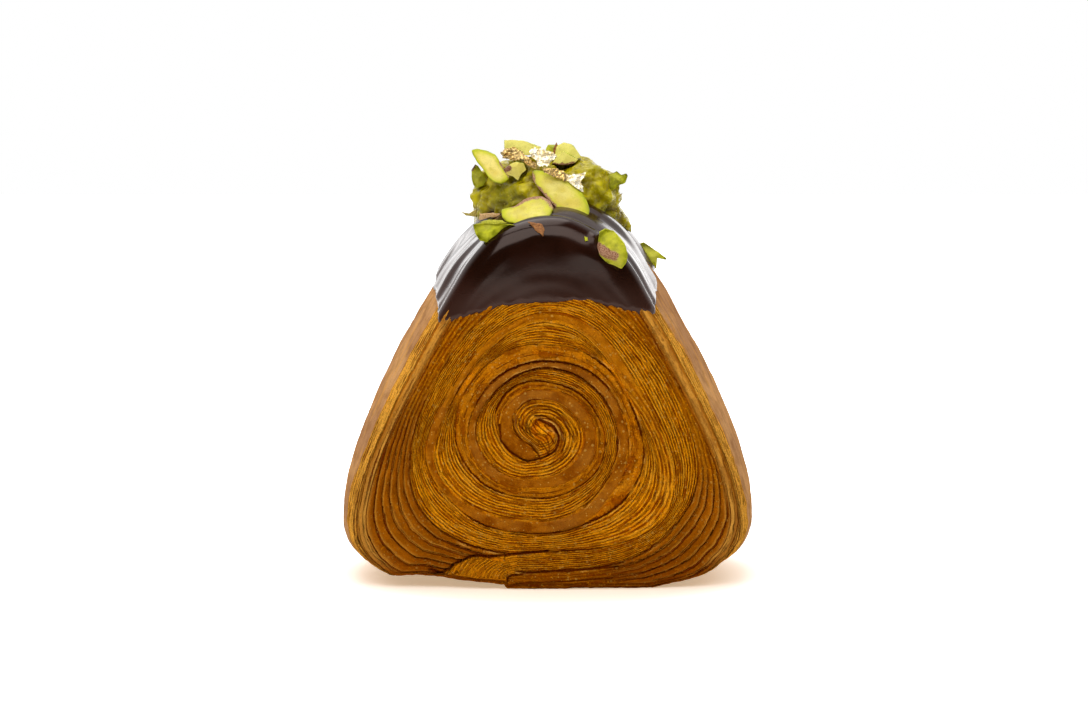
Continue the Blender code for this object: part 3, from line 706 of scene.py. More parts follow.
def layerField(turns, place, ring, fromEdge, path):
    # the layer count, the relief in millimetres and the masks at every point of the roll's grid
    count = spiral["layers"]
    x, z = place[..., 0], place[..., 2]
    reach = np.hypot(x - roll["centreShift"] * (1.0 - ring), z - roll["centreHeight"])
    rim = outlineAt(turns[:, None], 1.0)
    layer, lines, gate, nearest, lift, band, yellow = spiralColumns(turns, reach, ring, rim, softRim(turns))
    inner = np.minimum(path, 5.0 - path)
    onFace = np.broadcast_to(inner <= 1.02, ring.shape)
    onEdge = np.broadcast_to((inner > 1.02) & (inner <= 2.0), ring.shape)
    layer = np.where(onEdge, layer - spiral["edgeLayers"] * np.clip(inner - 1.0, 0.0, 1.0), layer)
    turnGrid = np.broadcast_to(np.mod(turns, 1.0)[:, None], ring.shape)
    # coarse layers between the rim and the outermost line of the spiral
    outerZone = ease(layer, -count + 0.4, -count - 0.4)
    corner = np.interp(turnGrid, *zip(*spiral["corner"]))
    # the wedge at the tail curls its layers about its own centre
    inWedge = np.maximum(insideOutline(x, z, wedge["outline"]), -3.0)
    wedgeShare = ease(inWedge, -0.1, 0.35) * onFace
    tailSlope = math.tan(math.radians(-90.0 - roll["tailAngle"]))
    leftward = np.maximum(-(roll["centreHeight"] - z) * tailSlope - x, 0.0)
    upward = (z - wedge["low"]) / np.where(z > wedge["low"], wedge["high"] - wedge["low"], wedge["under"])
    wedgeLayer = count * (np.hypot(leftward / wedge["length"], upward) - 1.0)
    nearTail = onFace & (leftward > 0.0) & (x > -26.0) & (z < wedge["high"] + 0.5) & (turns[:, None] > 0.5)
    slab = nearTail & (z < wedge["low"]) & (x > wedge["slabEnd"])
    wedgeShare = np.where(slab, 0.0, wedgeShare)
    beyondSlab = (x > wedge["slabEnd"] - 0.3) & ~slab
    layer = np.where(nearTail & ((wedgeShare > 0.02) | beyondSlab), wedgeLayer, layer)
    layer = np.where(slab, -count - 5.5 * (1.0 - z / wedge["low"]), layer)
    tailEnd = nearTail & ~slab & (insideOutline(x, z, wedge["reachTo"]) > 0.0)
    rimZone = np.where(tailEnd, 0.0, outerZone)
    atTail = np.where(tailEnd | slab, ease(leftward, 1.2, 0.0), 1.0)
    for name in lines:
        lines[name] = lines[name] * atTail
        gate[name] *= (1.0 - wedgeShare) * onFace * atTail
    # layers round the edge onto the side
    sideLayer = -count - spiral["rimLayers"] - spiral["edgeLayers"] - fromEdge / spiral["sideLayer"]
    layer = np.where(fromEdge > 0.0, sideLayer, layer)
    # the rolled edge along the rim, and the gap behind it
    rollWidth = spiral["rollWidth"]
    fromRim = np.where(onFace, rim - reach, 0.0)
    cornerShare = ease(corner, 0.45, 0.85)
    nearest["rim"] = np.where(onFace, fromRim - rollWidth, -rollWidth)
    behind = onFace * (1.0 - cornerShare) * np.where(tailEnd | slab, 0.0, 1.0) * ease(z, 2.0, 8.0)
    lines["rim"] = spiral["rimGap"] * behind * bump(nearest["rim"], spiral["gapWidth"])
    gate["rim"] = 0.8 * spiral["rimGap"] * behind * bump(nearest["rim"], spiral["gapReach"])
    # the gaps' depth, which also sets the painted shade in them
    gap = np.maximum.reduce(list(lines.values())) * (1.0 - wedgeShare)
    sink = spiral["gapDepth"] * gap
    # single folds and gaps, with painted shade along some and a painted highlight along others
    glow = np.zeros(ring.shape)
    stroke = np.full(ring.shape, 9.0)
    strokeShadeGate = np.zeros(ring.shape)
    for (width, depth, dark, bright), line in cutFolds:
        away = distanceToLine(x, z, line)
        shape = bump(away, width) * onFace
        sink = np.maximum(sink, depth * shape) if depth > 0.0 else sink + depth * shape
        if dark > 0.0:
            stroke = np.minimum(stroke, away / width)
            strokeShadeGate = np.maximum(strokeShadeGate, dark * bump(away, 0.9) * onFace)
        glow = np.maximum(glow, bright * shape)
    # a painted highlight along the ridge of the rim, fading out near the floor
    ridge = np.where(onFace, ease(fromRim, 1.2, 0.5), np.where(onEdge, ease(inner - 1.0, 0.9, 0.3), 0.0))
    glow = np.maximum(glow, 0.6 * ridge * ease(z, 1.0, 9.0))
    # each layer's own form: a sheet that stands up at its edges, more or less loose
    bent = layer + noiseOf(place, spiral["layerWaver"])
    step = np.mod(bent, 1.0)
    sheet = np.abs(2.0 * step - 1.0) ** 4 + 0.25 * step
    loose = np.mod(np.sin(np.floor(bent) * 12.9898) * 43758.5453, 1.0) - 0.5
    spacing = np.maximum(np.linalg.norm(np.gradient(place, axis=1), axis=-1), 1e-6)
    perMm = np.abs(np.gradient(layer, axis=1)) / spacing
    thick = 1.0 - ease(perMm, 0.9, 1.5)
    cornerZone = corner * rimZone
    stripe = (0.14 + 0.75 * cornerZone) * sheet + 0.75 * cornerZone * loose
    stripe = stripe * (1.0 - band) * np.clip(thick + 0.4 * cornerZone, 0.0, 1.0)
    stripe = np.where(wedgeShare > 0.02, 0.3 * sheet, stripe)
    crust = ease(fromEdge - spiral["cornerReach"] * cornerShare, *spiral["sideReach"])
    sideLines = ease(fromEdge, 0.0, 0.2) * (1.0 - crust)
    cornerSide = corner * ease(fromEdge, 0.0, 0.3) * (1.0 - ease(fromEdge, 4.0, 9.0))
    sideStripe = (0.25 * sideLines + 0.55 * cornerSide) * sheet + 0.5 * cornerSide * loose
    stripe = np.where(fromEdge > 0.0, sideStripe, stripe)
    rough = sum(noiseOf(place, settings) for settings in spiral["roughness"])
    relief = sink + stripe - lift * onFace * (1.0 - wedgeShare) - 0.18 * band * onFace
    wedgeRise = wedge["proud"] * ease(inWedge, 0.0, 1.2) * onFace
    relief += rough * (1.0 - 0.6 * band) * (1.0 - 0.5 * crust) - wedgeRise
    # waves all over, and long shallow dents in the side that run round the roll
    wave = noiseOf(place, spiral["waves"])
    dentWidth, dentDepth, dentSeed = spiral["sideDents"]
    alongSide = np.stack([turnGrid * spiral["roundTheRoll"] / 9.0, fromEdge / dentWidth,
                          np.zeros(ring.shape)], -1)
    dents = dentDepth * ease(softNoise(alongSide, 1.0, dentSeed), 0.1, 0.5)
    relief += np.where(onFace, wave, wave * 0.7 + (noiseOf(place, spiral["sideWaves"]) + dents) * crust)
    openLayers = 1.0 - outerZone * onFace * (1.0 - corner) * 0.7 - 0.2 * yellow * onFace
    nearRim = np.where(onFace, ease(fromRim, 3.4, 0.6), ease(fromEdge, 3.0, 0.4))
    rolled = ease(fromRim, rollWidth + 0.15, rollWidth - 0.25) * np.where(fromEdge > 0.25, 0.0, 1.0)
    masks = {
        "band": band * onFace * (1.0 - wedgeShare), "gap": 0.35 * gap * onFace, "glow": glow,
        "coarse": rimZone * (onFace | onEdge) * (1.0 - wedgeShare),
        "openLayers": np.clip(openLayers, 0.0, 1.0),
        "yellow": yellow * onFace, "sideDepth": fromEdge, "sideLines": ease(fromEdge, 0.0, 0.3),
        "corner": corner * (1.0 - ease(fromEdge, 5.0, 11.0)), "wedgeMask": wedgeShare,
        "fine": np.clip(1.0 - ease(perMm, 3.6, 6.5), 0.0, 1.0) * ease(ring, 0.07, 0.10),
        "layersPerMm": np.clip(perMm * (1.0 + wedgeShare), 0.3, 4.5),
        "strokeAway": np.minimum(stroke, 4.0), "strokeShadeGate": strokeShadeGate,
        "cornerSlabHighlight": cornerShare * nearRim * ease(z, 3.0, 7.0) * ease(z, 30.0, 20.0),
        # the rolled edge's own colour fades out near the floor, leaving the rim darker there as painted shade
        "lowSide": ease(z, 9.0, 1.0), "edgeRoll": rolled * (1.0 - cornerShare) * ease(z, 1.0, 7.0),
    }
    for name in lines:
        masks[name + "Away"] = np.clip(nearest[name], -9.0, 9.0)
        masks[name + "Gate"] = gate[name]
    return layer, relief, masks


def makeLayerGroup():
    # the thin layers of the cut face: painted highlights on the crests, painted shade in the gaps, torn
    # dashes and a tone for each layer
    inputs = {"Layer": 0.0, "Place": None, "Waver": 0.4, "Tear": 0.6, "Density": 1.0}
    group, inside, outside = newGroup("pastryLayers", inputs,
                                      ("CrestHighlight", "GapShade", "Tone", "Height", "Part", "Bright"))
    layer, place, waver, tear, density = (inside[name] for name in inputs)
    bend = centred(group, mottle(group, place, 4.0, 1.0))
    bend = scaled(group, centred(group, mottle(group, place, 1.0, 2.0)), 0.5, bend)
    bend = scaled(group, centred(group, mottle(group, place, 0.4, 1.0)), 0.35, bend)
    waver = times(group, waver, between(group, density, 0.3, 2.3, 0.5, 2.0))
    count = scaled(group, bend, waver, layer)
    # the layer count as a circle, so that the turns join without a seam
    turn = times(group, count, 2.0 * math.pi / spiral["layers"])
    cosine, sine = calc(group, "COSINE", turn), calc(group, "SINE", turn)
    split = group.nodes.new("ShaderNodeSeparateXYZ")
    group.links.new(place, split.inputs[0])

    def layerNoise(length, detail, shift, reach=2.2):
        join = group.nodes.new("ShaderNodeCombineXYZ")
        slant = calc(group, "ADD", split.outputs[0], split.outputs[1])
        put(group, join.inputs[0], times(group, slant, 1.0 / length))
        put(group, join.inputs[1], times(group, split.outputs[2], 1.0 / length))
        put(group, join.inputs[2], scaled(group, cosine, reach, shift))
        node = group.nodes.new("ShaderNodeTexNoise")
        node.noise_dimensions = "4D"
        node.inputs["Scale"].default_value = 1.0
        node.inputs["Detail"].default_value = detail
        group.links.new(join.outputs[0], node.inputs["Vector"])
        put(group, node.inputs["W"], times(group, sine, reach))
        return node.outputs[0]

    def fromMiddle(number, shift):
        # the place within a layer, and its distance from the layer's middle
        part = calc(group, "FRACT", calc(group, "ADD", number, shift))
        return part, calc(group, "ABSOLUTE", centred(group, part))

    tone = layerNoise(14.0, 1.0, 0.0)
    dash = between(group, layerNoise(2.4, 2.0, 7.0), 0.40, 0.60)
    # strands a few layers thick: painted shade where they part, painted highlight where they stand out
    strand = layerNoise(4.5, 2.0, 21.0, 1.65)
    parted = between(group, strand, 0.455, 0.385)
    bright = between(group, strand, 0.53, 0.62)
    part, edge = fromMiddle(count, 100.0)
    # gaps, painted as shade, are about as wide in millimetres wherever the layers lie closer or further apart
    gap = between(group, edge, scaled(group, density, -0.15, 0.5), scaled(group, density, -0.03, 0.5))
    crest = between(group, edge, 0.34, 0.05)
    # finer gaps that split some of the layers in two
    fineEdge = fromMiddle(times(group, count, 2.0), 100.5)[1]
    splits = between(group, layerNoise(4.0, 1.0, 13.0), 0.48, 0.64)
    fineGap = times(group, between(group, fineEdge, 0.28, 0.48), splits)
    openGap = calc(group, "MULTIPLY", gap, calc(group, "ADD", times(group, dash, tear), 0.34), clamp=True)
    allGap = highest(group, openGap, times(group, fineGap, 0.6), times(group, parted, 0.7))
    height = calc(group, "SUBTRACT", times(group, calc(group, "ADD", crest, bright), 0.5), allGap)
    for socket, value in zip(outside, (crest, allGap, tone, height, part, bright)):
        group.links.new(value, socket)
    return group


def makeTearGroup():
    # a torn line painted as shade where the distance passes zero, and a painted highlight on the lip beside
    # it
    inputs = {"Away": 1.0, "Strength": 1.0, "Place": None, "Width": 0.2}
    group, inside, outside = newGroup("tornLine", inputs, ("Line", "LipHighlight"))
    away, strength, place, width = (inside[name] for name in inputs)
    for size, amount in ((1.6, 0.5), (0.55, 0.55)):
        away = scaled(group, centred(group, mottle(group, place, size, 1.0)), amount, away)
    ragged = scaled(group, mottle(group, place, 0.8, 1.0), 1.6, 0.2)
    strength = times(group, strength, between(group, mottle(group, place, 5.0, 2.0), 0.38, 0.60, 0.25, 1.0))
    wide = times(group, width, ragged, between(group, strength, 0.1, 1.0, 0.45, 1.3))
    line = between(group, calc(group, "ABSOLUTE", away), wide, times(group, wide, 0.45))
    line = times(group, line, between(group, strength, 0.05, 0.7))
    lipHighlight = between(group, calc(group, "ABSOLUTE", calc(group, "SUBTRACT", away, 0.38)), 0.22, 0.06)
    lipHighlight = times(group, lipHighlight, between(group, mottle(group, place, 3.2, 2.0), 0.40, 0.62))
    lipHighlight = times(group, lipHighlight, between(group, strength, 0.25, 0.7))
    for socket, value in zip(outside, (line, lipHighlight)):
        group.links.new(value, socket)
    return group


def makeGrainGroup():
    # baked or chopped grain: a fine value, small bright specks and a height
    group, inside, outside = newGroup("bakedGrain", {"Place": None, "Size": 0.4},
                                      ("Value", "Specks", "Height"))
    scale = group.nodes.new("ShaderNodeVectorMath")
    scale.operation = "DIVIDE"
    group.links.new(inside["Place"], scale.inputs[0])
    join = group.nodes.new("ShaderNodeCombineXYZ")
    for socket in join.inputs:
        group.links.new(inside["Size"], socket)
    group.links.new(join.outputs[0], scale.inputs[1])
    value = mottle(group, scale.outputs[0], 1.0, 3.0, 0.6)
    cells = group.nodes.new("ShaderNodeTexVoronoi")
    group.links.new(scale.outputs[0], cells.inputs["Vector"])
    cells.inputs["Scale"].default_value = 0.42
    thin = between(group, mottle(group, scale.outputs[0], 5.0, 1.0), 0.46, 0.58)
    specks = times(group, between(group, cells.outputs["Distance"], 0.27, 0.14), thin)
    for socket, result in zip(outside, (value, specks, scaled(group, specks, 0.6, value))):
        group.links.new(result, socket)
    return group


pastryLook = {
    # Among these the gap colour is painted shade in the gaps; the crest, line and lip colours are painted
    # highlights; the clear colour is a painted highlight on the corner slabs and the pale streaks of the
    # crust.
    "golden": (255, 162, 16), "amber": (216, 113, 1), "deep": (116, 40, 0), "gap": (102, 29, 0),
    "crestHighlightGold": (255, 172, 38), "band": (164, 94, 12), "bandDark": (130, 66, 2), "bandGrey": (158, 98, 30),
    "yellow": (164, 92, 6), "speck": (240, 184, 84), "rimEdge": (176, 102, 20), "coarse": (130, 66, 0),
    "crust": (180, 132, 90), "crustDark": (134, 88, 54), "crustGold": (206, 154, 100), "base": (120, 62, 14),
    "slabEdgeHighlight": (234, 160, 54), "lipHighlight": (230, 166, 70), "slab": (154, 82, 6), "clear": (222, 156, 62),
    "sideGold": (255, 184, 72), "rimGold": (206, 130, 36), "mottleGold": (200, 112, 4),
}

pastryGrain = {  # sizes in millimetres: across the layers and, where there are two, along them and across
    "grain": 0.32, "crumb": 0.6, "patch": 3.2, "broad": 11.0, "fleck": 1.3,
    "streak": (12.0, 1.3), "fineStreak": (6.0, 0.42), "crustStart": (9.0, 3.0),
    # where the side's crust begins, how ragged, and how much further back at the lower corners
    "crustFrom": (3.3, 4.5), "crustRagged": 7.0, "crustAtCorner": -4.2,
    # the torn lines between the turns and their widths
    "tears": {"fold": 0.22, "outer": 0.22, "inner": 0.2, "rim": 0.2},
    "bump": 0.55,
}


def stretchedNoise(tree, place, sizes, detail, rough=0.5):
    # streaks that run round the roll: sizes round it and along its axis
    node = tree.nodes.new("ShaderNodeVectorMath")
    node.operation = "MULTIPLY"
    tree.links.new(place, node.inputs[0])
    node.inputs[1].default_value = (1.0 / sizes[0], 1.0 / sizes[1], 1.0 / sizes[0])
    return mottle(tree, node.outputs[0], 1.0, detail, rough)


def makePastryFinish(layers, grain, tear):
    look = {name: toLinear(*colour) for name, colour in pastryLook.items()}
    grainy = pastryGrain
    finish, tree, shader = newFinish("bakedLayers", Roughness=0.55, Specular_IOR_Level=0.0)
    place = placeInMillimetres(tree)
    mask = {name: readMask(tree, name) for name in (
        "layerAt", "band", "gap", "coarse", "yellow", "fine", "layersPerMm", "corner", "edgeRoll",
        "openLayers", "glow", "sideDepth", "lowSide", "sideLines", "wedgeMask", "cornerSlabHighlight", "strokeAway",
        "strokeShadeGate")}

    def without(value, amount=1.0):
        return scaled(tree, value, -amount, 1.0)

    def part(share, value, low, high, *others):
        return times(tree, between(tree, value, low, high), *others, share)

    def toneOf(base, *coats):
        return paint(tree, look[base], *[(share, look[colour]) for share, colour in coats])

    wavering = scaled(tree, mask["sideLines"], -0.36, 0.45)
    parts = useGroup(tree, layers, Layer=mask["layerAt"], Place=place, Waver=wavering, Tear=0.75,
                     Density=mask["layersPerMm"])
    grains = useGroup(tree, grain, Place=place, Size=grainy["grain"])
    crumbs = useGroup(tree, grain, Place=place, Size=grainy["crumb"])
    patches = mottle(tree, place, grainy["patch"], 3.0)
    broad = mottle(tree, place, grainy["broad"], 2.0)
    flecks = mottle(tree, place, grainy["fleck"], 3.0)
    streaks = stretchedNoise(tree, place, grainy["streak"], 4.0, 0.6)
    fineStreaks = stretchedNoise(tree, place, grainy["fineStreak"], 3.0)
    # the ragged line where the side's crust begins
    start = centred(tree, stretchedNoise(tree, place, grainy["crustStart"], 3.0))
    start = scaled(tree, start, grainy["crustRagged"],
                   scaled(tree, mask["corner"], grainy["crustAtCorner"], mask["sideDepth"]))
    crust = between(tree, start, *grainy["crustFrom"])
    sideLines = times(tree, mask["sideLines"], without(crust))
    show = times(tree, without(mask["band"], 0.88), mask["fine"], without(crust), mask["openLayers"],
                 without(mask["edgeRoll"], 0.4))
    # golden layers, and the mottled strip between two lines of the spiral
    mottled = toneOf("bandDark", (between(tree, flecks, 0.36, 0.66), "mottleGold"))
    body = paint(
        tree, toneOf("amber", (between(tree, parts["Tone"], 0.38, 0.62), "golden")),
        (part(0.35, broad, 0.4, 0.7), look["deep"]),
        (part(0.3, patches, 0.46, 0.66), look["deep"]),
        # painted highlights on the layers' crests and on the strands that stand out
        (times(tree, parts["CrestHighlight"], mask["fine"], 0.75), look["golden"]),
        (times(tree, parts["Bright"], 0.75, show), look["crestHighlightGold"]),
        (times(tree, mask["yellow"], 0.75),
         blend(tree, between(tree, patches, 0.3, 0.62), mottled, look["yellow"])),
        (times(tree, mask["coarse"], 0.65), look["coarse"]))
    # thicker layers at the lower corners, with a painted highlight along their outer edges and painted shade
    # in the lines between them
    slab = times(tree, mask["coarse"], between(tree, mask["corner"], 0.35, 0.8))
    slabTone = toneOf("bandDark", (between(tree, patches, 0.34, 0.66), "slab"))
    slabTone = paint(tree, slabTone, (between(tree, parts["Tone"], 0.56, 0.40), look["bandDark"]),
                     (part(0.6, parts["Part"], 0.45, 0.05), look["slabEdgeHighlight"]))
    slabEdge = calc(tree, "ABSOLUTE", centred(tree, parts["Part"]))
    perMm = mask["layersPerMm"]
    slabLine = between(tree, slabEdge, scaled(tree, perMm, -0.27, 0.5), scaled(tree, perMm, -0.07, 0.5))
    # smooth bands
    bandTone = toneOf("bandDark", (between(tree, patches, 0.36, 0.62), "band"),
                      (part(0.5, broad, 0.45, 0.65), "bandGrey"))
    rimTone = blend(tree, patches, look["rimEdge"], look["rimGold"])
    body = paint(
        tree, body,
        (times(tree, slab, 0.85), slabTone),
        (mask["band"], bandTone),
        (times(tree, sideLines, 0.85), look["sideGold"]),
        (times(tree, mask["wedgeMask"], 0.55), look["golden"]),
        (times(tree, mask["edgeRoll"], 0.8), rimTone),
        # painted highlight along the outer edges of the corner slabs
        (times(tree, mask["cornerSlabHighlight"], between(tree, parts["Part"], 0.9, 0.1), 0.6), look["clear"]),
        # painted highlights along the lips, the raised folds and the rim's ridge
        (mask["glow"], look["lipHighlight"]),
        (times(tree, mask["lowSide"], without(crust), 0.4), look["deep"]),
        # painted shade in the gaps between the layers, between the corner slabs and between the side's layers
        (times(tree, parts["GapShade"], show, without(slab, 0.85), without(sideLines, 0.3), 0.88), look["gap"]),
        (times(tree, slabLine, slab, between(tree, parts["Tone"], 0.36, 0.60), 0.9), look["gap"]),
        (part(0.75, slabEdge, 0.30, 0.46, sideLines), look["deep"]))
    # crumbly grain: dark pits and lighter crumbs, less on the smooth places
    smooth = highest(tree, mask["band"], highest(tree, mask["edgeRoll"], slab))
    crumbly = without(smooth, 0.6)
    specks = highest(tree, grains["Specks"], times(tree, crumbs["Specks"], 0.8))
    # the side's crust
    crustTone = toneOf(
        "crust", (between(tree, broad, 0.38, 0.62), "crustGold"),
        (part(0.4, patches, 0.54, 0.34), "crustDark"),
        (part(0.4, streaks, 0.52, 0.68), "crustDark"), (part(0.45, streaks, 0.46, 0.34), "clear"),
        (part(0.28, fineStreaks, 0.54, 0.70), "crustDark"),
        (part(0.3, grains["Value"], 0.50, 0.34), "crustDark"),
        (times(tree, mask["lowSide"], 0.6), "base"))
    body = paint(
        tree, body,
        (times(tree, part(0.5, grains["Value"], 0.54, 0.32), crumbly), look["deep"]),
        (times(tree, part(0.55, crumbs["Value"], 0.56, 0.74), crumbly), look["golden"]),
        (times(tree, specks, scaled(tree, slab, -0.22, 0.42)), look["speck"]),
        (crust, crustTone),
        # painted shade in the gaps of the spiral's lines
        (times(tree, mask["gap"], 0.9), look["gap"]))
    # the torn lines between the turns, and the single folds: painted shade along them and painted highlights
    # on their lips
    tornLines = []
    for name, width in grainy["tears"].items():
        line = useGroup(tree, tear, Away=readMask(tree, name + "Away"),
                        Strength=readMask(tree, name + "Gate"), Place=place, Width=width)
        body = blend(tree, times(tree, line["LipHighlight"], 0.65), body, look["lipHighlight"])
        tornLines.append(line["Line"])
    wander = scaled(tree, centred(tree, mottle(tree, place, 0.7, 2.0)), 1.6, mask["strokeAway"])
    strokeShade = times(tree, between(tree, wander, 1.1, 0.3), between(tree, mask["strokeShadeGate"], 0.1, 1.0))
    torn = highest(tree, *tornLines, strokeShade)
    body = blend(tree, times(tree, torn, 0.88), body, look["gap"])
    roughness = scaled(tree, crust, 0.3, between(tree, patches, 0.3, 0.7, 0.62, 0.44))
    height = times(tree, parts["Height"], show, without(slab, 0.85))
    height = calc(tree, "SUBTRACT", height, times(tree, slabLine, slab, 1.3))
    crustLines = times(tree, calc(tree, "ADD", streaks, times(tree, fineStreaks, 0.6)), crust)
    for value, amount in ((grains["Height"], 0.4), (crumbs["Height"], 0.4), (torn, -1.2), (crustLines, -0.5)):
        height = scaled(tree, value, amount, height)
    finishUp(tree, shader, body, roughness, height, grainy["bump"])
    return finish


def rowsAlong(stretches, last):
    # places along the path: stretches of start, end and count, then the last one with its end
    rows = [np.linspace(start, end, count, endpoint=False) for start, end, count in stretches]
    return np.concatenate(rows + [np.linspace(*last)])


def makePastry(finish):
    columns = roll["columns"]
    turns = np.arange(columns + 1) / columns
    path = rowsAlong(roll["rows"], (4.0, 5.0, roll["backRows"]))
    place, ring, fromEdge = rollPlaces(turns, path, roll["rimRound"])
    # the seam's last column has its own layer count but shares the first column's points
    layer, relief, masks = layerField(turns, place, ring, fromEdge, path)
    way = outward(place[:-1], True)
    middle = np.minimum(path, 5.0 - path) < 0.12
    way[:, middle & (path < 2.5)] = (0.0, -1.0, 0.0)
    way[:, middle & (path > 2.5)] = (0.0, 1.0, 0.0)
    shaped = place[:-1] - way * relief[:-1, :, None]
    shaped[..., 2] = np.maximum(shaped[..., 2], 0.0)
    rows = len(path)
    points = shaped.reshape(-1, 3)
    faces = gridFaces(columns, rows, True)
    piece = makePiece("pastry_roll", points, faces, finish)
    addMask(piece, "layerAt", cornerValues(layer, columns, rows), "CORNER")
    for name, values in masks.items():
        addMask(piece, name, values[:-1])
    return piece


def cornerValues(values, columns, rows):
    # each quad reads its own two columns, so a jump at the seam stays between faces
    out = np.empty((columns, rows - 1, 4))
    out[..., 0] = values[:-1, :-1]
    out[..., 1] = values[1:, :-1]
    out[..., 2] = values[1:, 1:]
    out[..., 3] = values[:-1, 1:]
    return out


print("pastry roll")
layerGroup = makeLayerGroup()
grainGroup = makeGrainGroup()
tearGroup = makeTearGroup()
pastryFinish = makePastryFinish(layerGroup, grainGroup, tearGroup)
onPiece(makePastry(pastryFinish), "pastry", "pastry")


# chocolate poured over the top

coat = {
    "thickness": 0.8, "fullness": 0.8, "under": -0.7, "lipWidth": 1.1, "rimRound": 3.2,
    "columns": 330, "span": (0.335, 0.735), "cutOff": -1.6,
    # rows of points along the roll's path: start, end and count of each stretch, then the last one
    "rows": ((0.42, 0.86, 70), (0.86, 1.0, 26), (1.0, 2.0, 12), (2.0, 2.12, 10), (2.12, 2.94, 60),
             (2.94, 3.0, 4), (3.0, 4.0, 7)),
    "lastRows": (4.0, 4.6, 34),
    # height of its edge: at the front, how far it climbs behind, and its tilt to one side
    "edgeHeight": 57.0, "edgeClimb": 11.5, "climbLength": 16.0, "edgeTilt": 0.03,
    # the arch of that edge over the front face
    "frontArch": 4.2, "archHalfWidth": 22.5, "archLength": 8.4,
    # how ragged the edge is: noise size, height and seed
    "ragged": ((2.1, 0.55, 21), (0.9, 0.35, 22), (6.0, 0.5, 23)),
    # ridges where it ran down beside the edge, and swells: size, height, seed
    "ridges": ((0.9, 0.12, 35), (2.2, 0.5, 36), (5.0, 0.7, 37)), "swells": ((10.0, 0.3, 33), (5.0, 0.1, 34)),
    # fine rings over the layers beneath: height, spacing
    "rings": 0.022, "ringSpacing": 2.3,
    # shallow bumps: x, y, z, radius, height
    "bumps": ((9.5, -27.5, 75.0, 1.1, 0.9), (-17.0, -22.0, 78.6, 2.6, 1.5), (12.5, -27.0, 73.0, 4.0, 0.5),
              (-11.0, -26.0, 76.5, 4.5, 0.5), (4.0, -22.0, 78.0, 4.5, 0.4), (-2.0, -27.0, 76.0, 2.0, 0.25)),
}


def coatEdge(place, teeth=1.0):
    # how far a point lies over the edge of the chocolate, in millimetres of height
    x, y, z = place[..., 0], place[..., 1], place[..., 2]
    back = np.maximum(y + roll["halfDepth"], 0.0)
    climb = coat["edgeClimb"] * (1.0 - np.exp(-back / coat["climbLength"]))
    edge = coat["edgeHeight"] + climb + coat["edgeTilt"] * x
    nearFront = np.clip(1.0 - back / coat["archLength"], 0.0, 1.0)
    edge = edge + coat["frontArch"] * (1.0 - (np.abs(x) / coat["archHalfWidth"]) ** 2) * nearFront
    return z - edge + sum(noiseOf(place, settings) for settings in coat["ragged"]) * teeth


def makeCoat(finish):
    turns = np.linspace(*coat["span"], coat["columns"])
    path = rowsAlong(coat["rows"], coat["lastRows"])
    place, ring, fromEdge = rollPlaces(turns, path, coat["rimRound"])
    over = coatEdge(place)
    smoothOver = coatEdge(place, 0.0)
    share = ease(over, -coat["lipWidth"] * 0.5, coat["lipWidth"])
    height = coat["under"] + (coat["thickness"] - coat["under"]) * share
    height = height + coat["fullness"] * (ease(smoothOver, 0.0, 12.0) - 0.5) * share
    turnGrid = np.broadcast_to(turns[:, None], ring.shape)
    for size, tall, seed in coat["ridges"]:
        alongEdge = np.stack([turnGrid * spiral["roundTheRoll"] / 16.0, fromEdge / size,
                              np.zeros(ring.shape)], -1)
        height = height + tall * softNoise(alongEdge, 1.0, seed) * ease(fromEdge, 0.0, 0.8 * size) * share
    rings = ring * 44.0 * 2.0 * math.pi / coat["ringSpacing"] + 1.2 * softNoise(place, 7.0, 31)
    arcs = np.sin(rings) * (0.6 + 0.4 * softNoise(place, 12.0, 32)) * ease(smoothOver, 12.0, 2.0)
    swells = sum(noiseOf(place, settings) for settings in coat["swells"])
    height = height + share * (coat["rings"] * arcs * (1.0 - ease(fromEdge, 0.0, 1.0)) + swells)
    for x, y, z, radius, tall in coat["bumps"]:
        height = height + tall * bump(np.linalg.norm(place - np.array([x, y, z]), axis=-1), radius)
    points = (place + outward(place, False) * height[..., None]).reshape(-1, 3)
    keep = over.reshape(-1) > coat["cutOff"]
    faces = [face for face in gridFaces(coat["columns"], len(path)) if any(keep[i] for i in face)]
    used, faces = keptPart(points, faces)
    piece = makePiece("chocolate_cap", points[used], faces, finish)
    addMask(piece, "overEdge", over.reshape(-1)[used])
    return piece


coatLook = {
    "base": (26, 8, 2),
    "coats": (("broad", 0.35, 0.65, 1.0, (36, 13, 5)), ("overEdge", 2.4, 0.2, 0.5, (58, 24, 10)),
              # the next coat is a painted sheen: lighter and greyer close above the lower edge
              ("overEdge", 9.0, 2.0, 0.5, (62, 38, 30))),
    "broad": 12.0, "fine": 2.0, "grain": 0.5, "bump": 0.012,
}


def makeCoatFinish(grain):
    finish, tree, shader = newFinish("darkChocolate", Roughness=0.2, Specular_IOR_Level=0.34,
                                     Specular_Tint=(1.0, 0.8, 0.72, 1.0))
    place = placeInMillimetres(tree)
    masks = {"broad": mottle(tree, place, coatLook["broad"], 2.0), "overEdge": readMask(tree, "overEdge")}
    body = paintByMasks(tree, masks, coatLook["base"], coatLook["coats"])
    # rougher towards its lower edge
    low = scaled(tree, between(tree, masks["overEdge"], 9.0, 2.0), 0.3, masks["broad"])
    roughness = between(tree, low, 0.3, 1.0, 0.13, 0.30)
    grains = useGroup(tree, grain, Place=place, Size=coatLook["grain"])
    height = scaled(tree, grains["Value"], 0.1, mottle(tree, place, coatLook["fine"], 3.0))
    finishUp(tree, shader, body, roughness, height, coatLook["bump"])
    return finish


print("chocolate")
coatFinish = makeCoatFinish(grainGroup)
onPiece(makeCoat(coatFinish), "chocolate", "chocolate_coat")


# pistachio cream

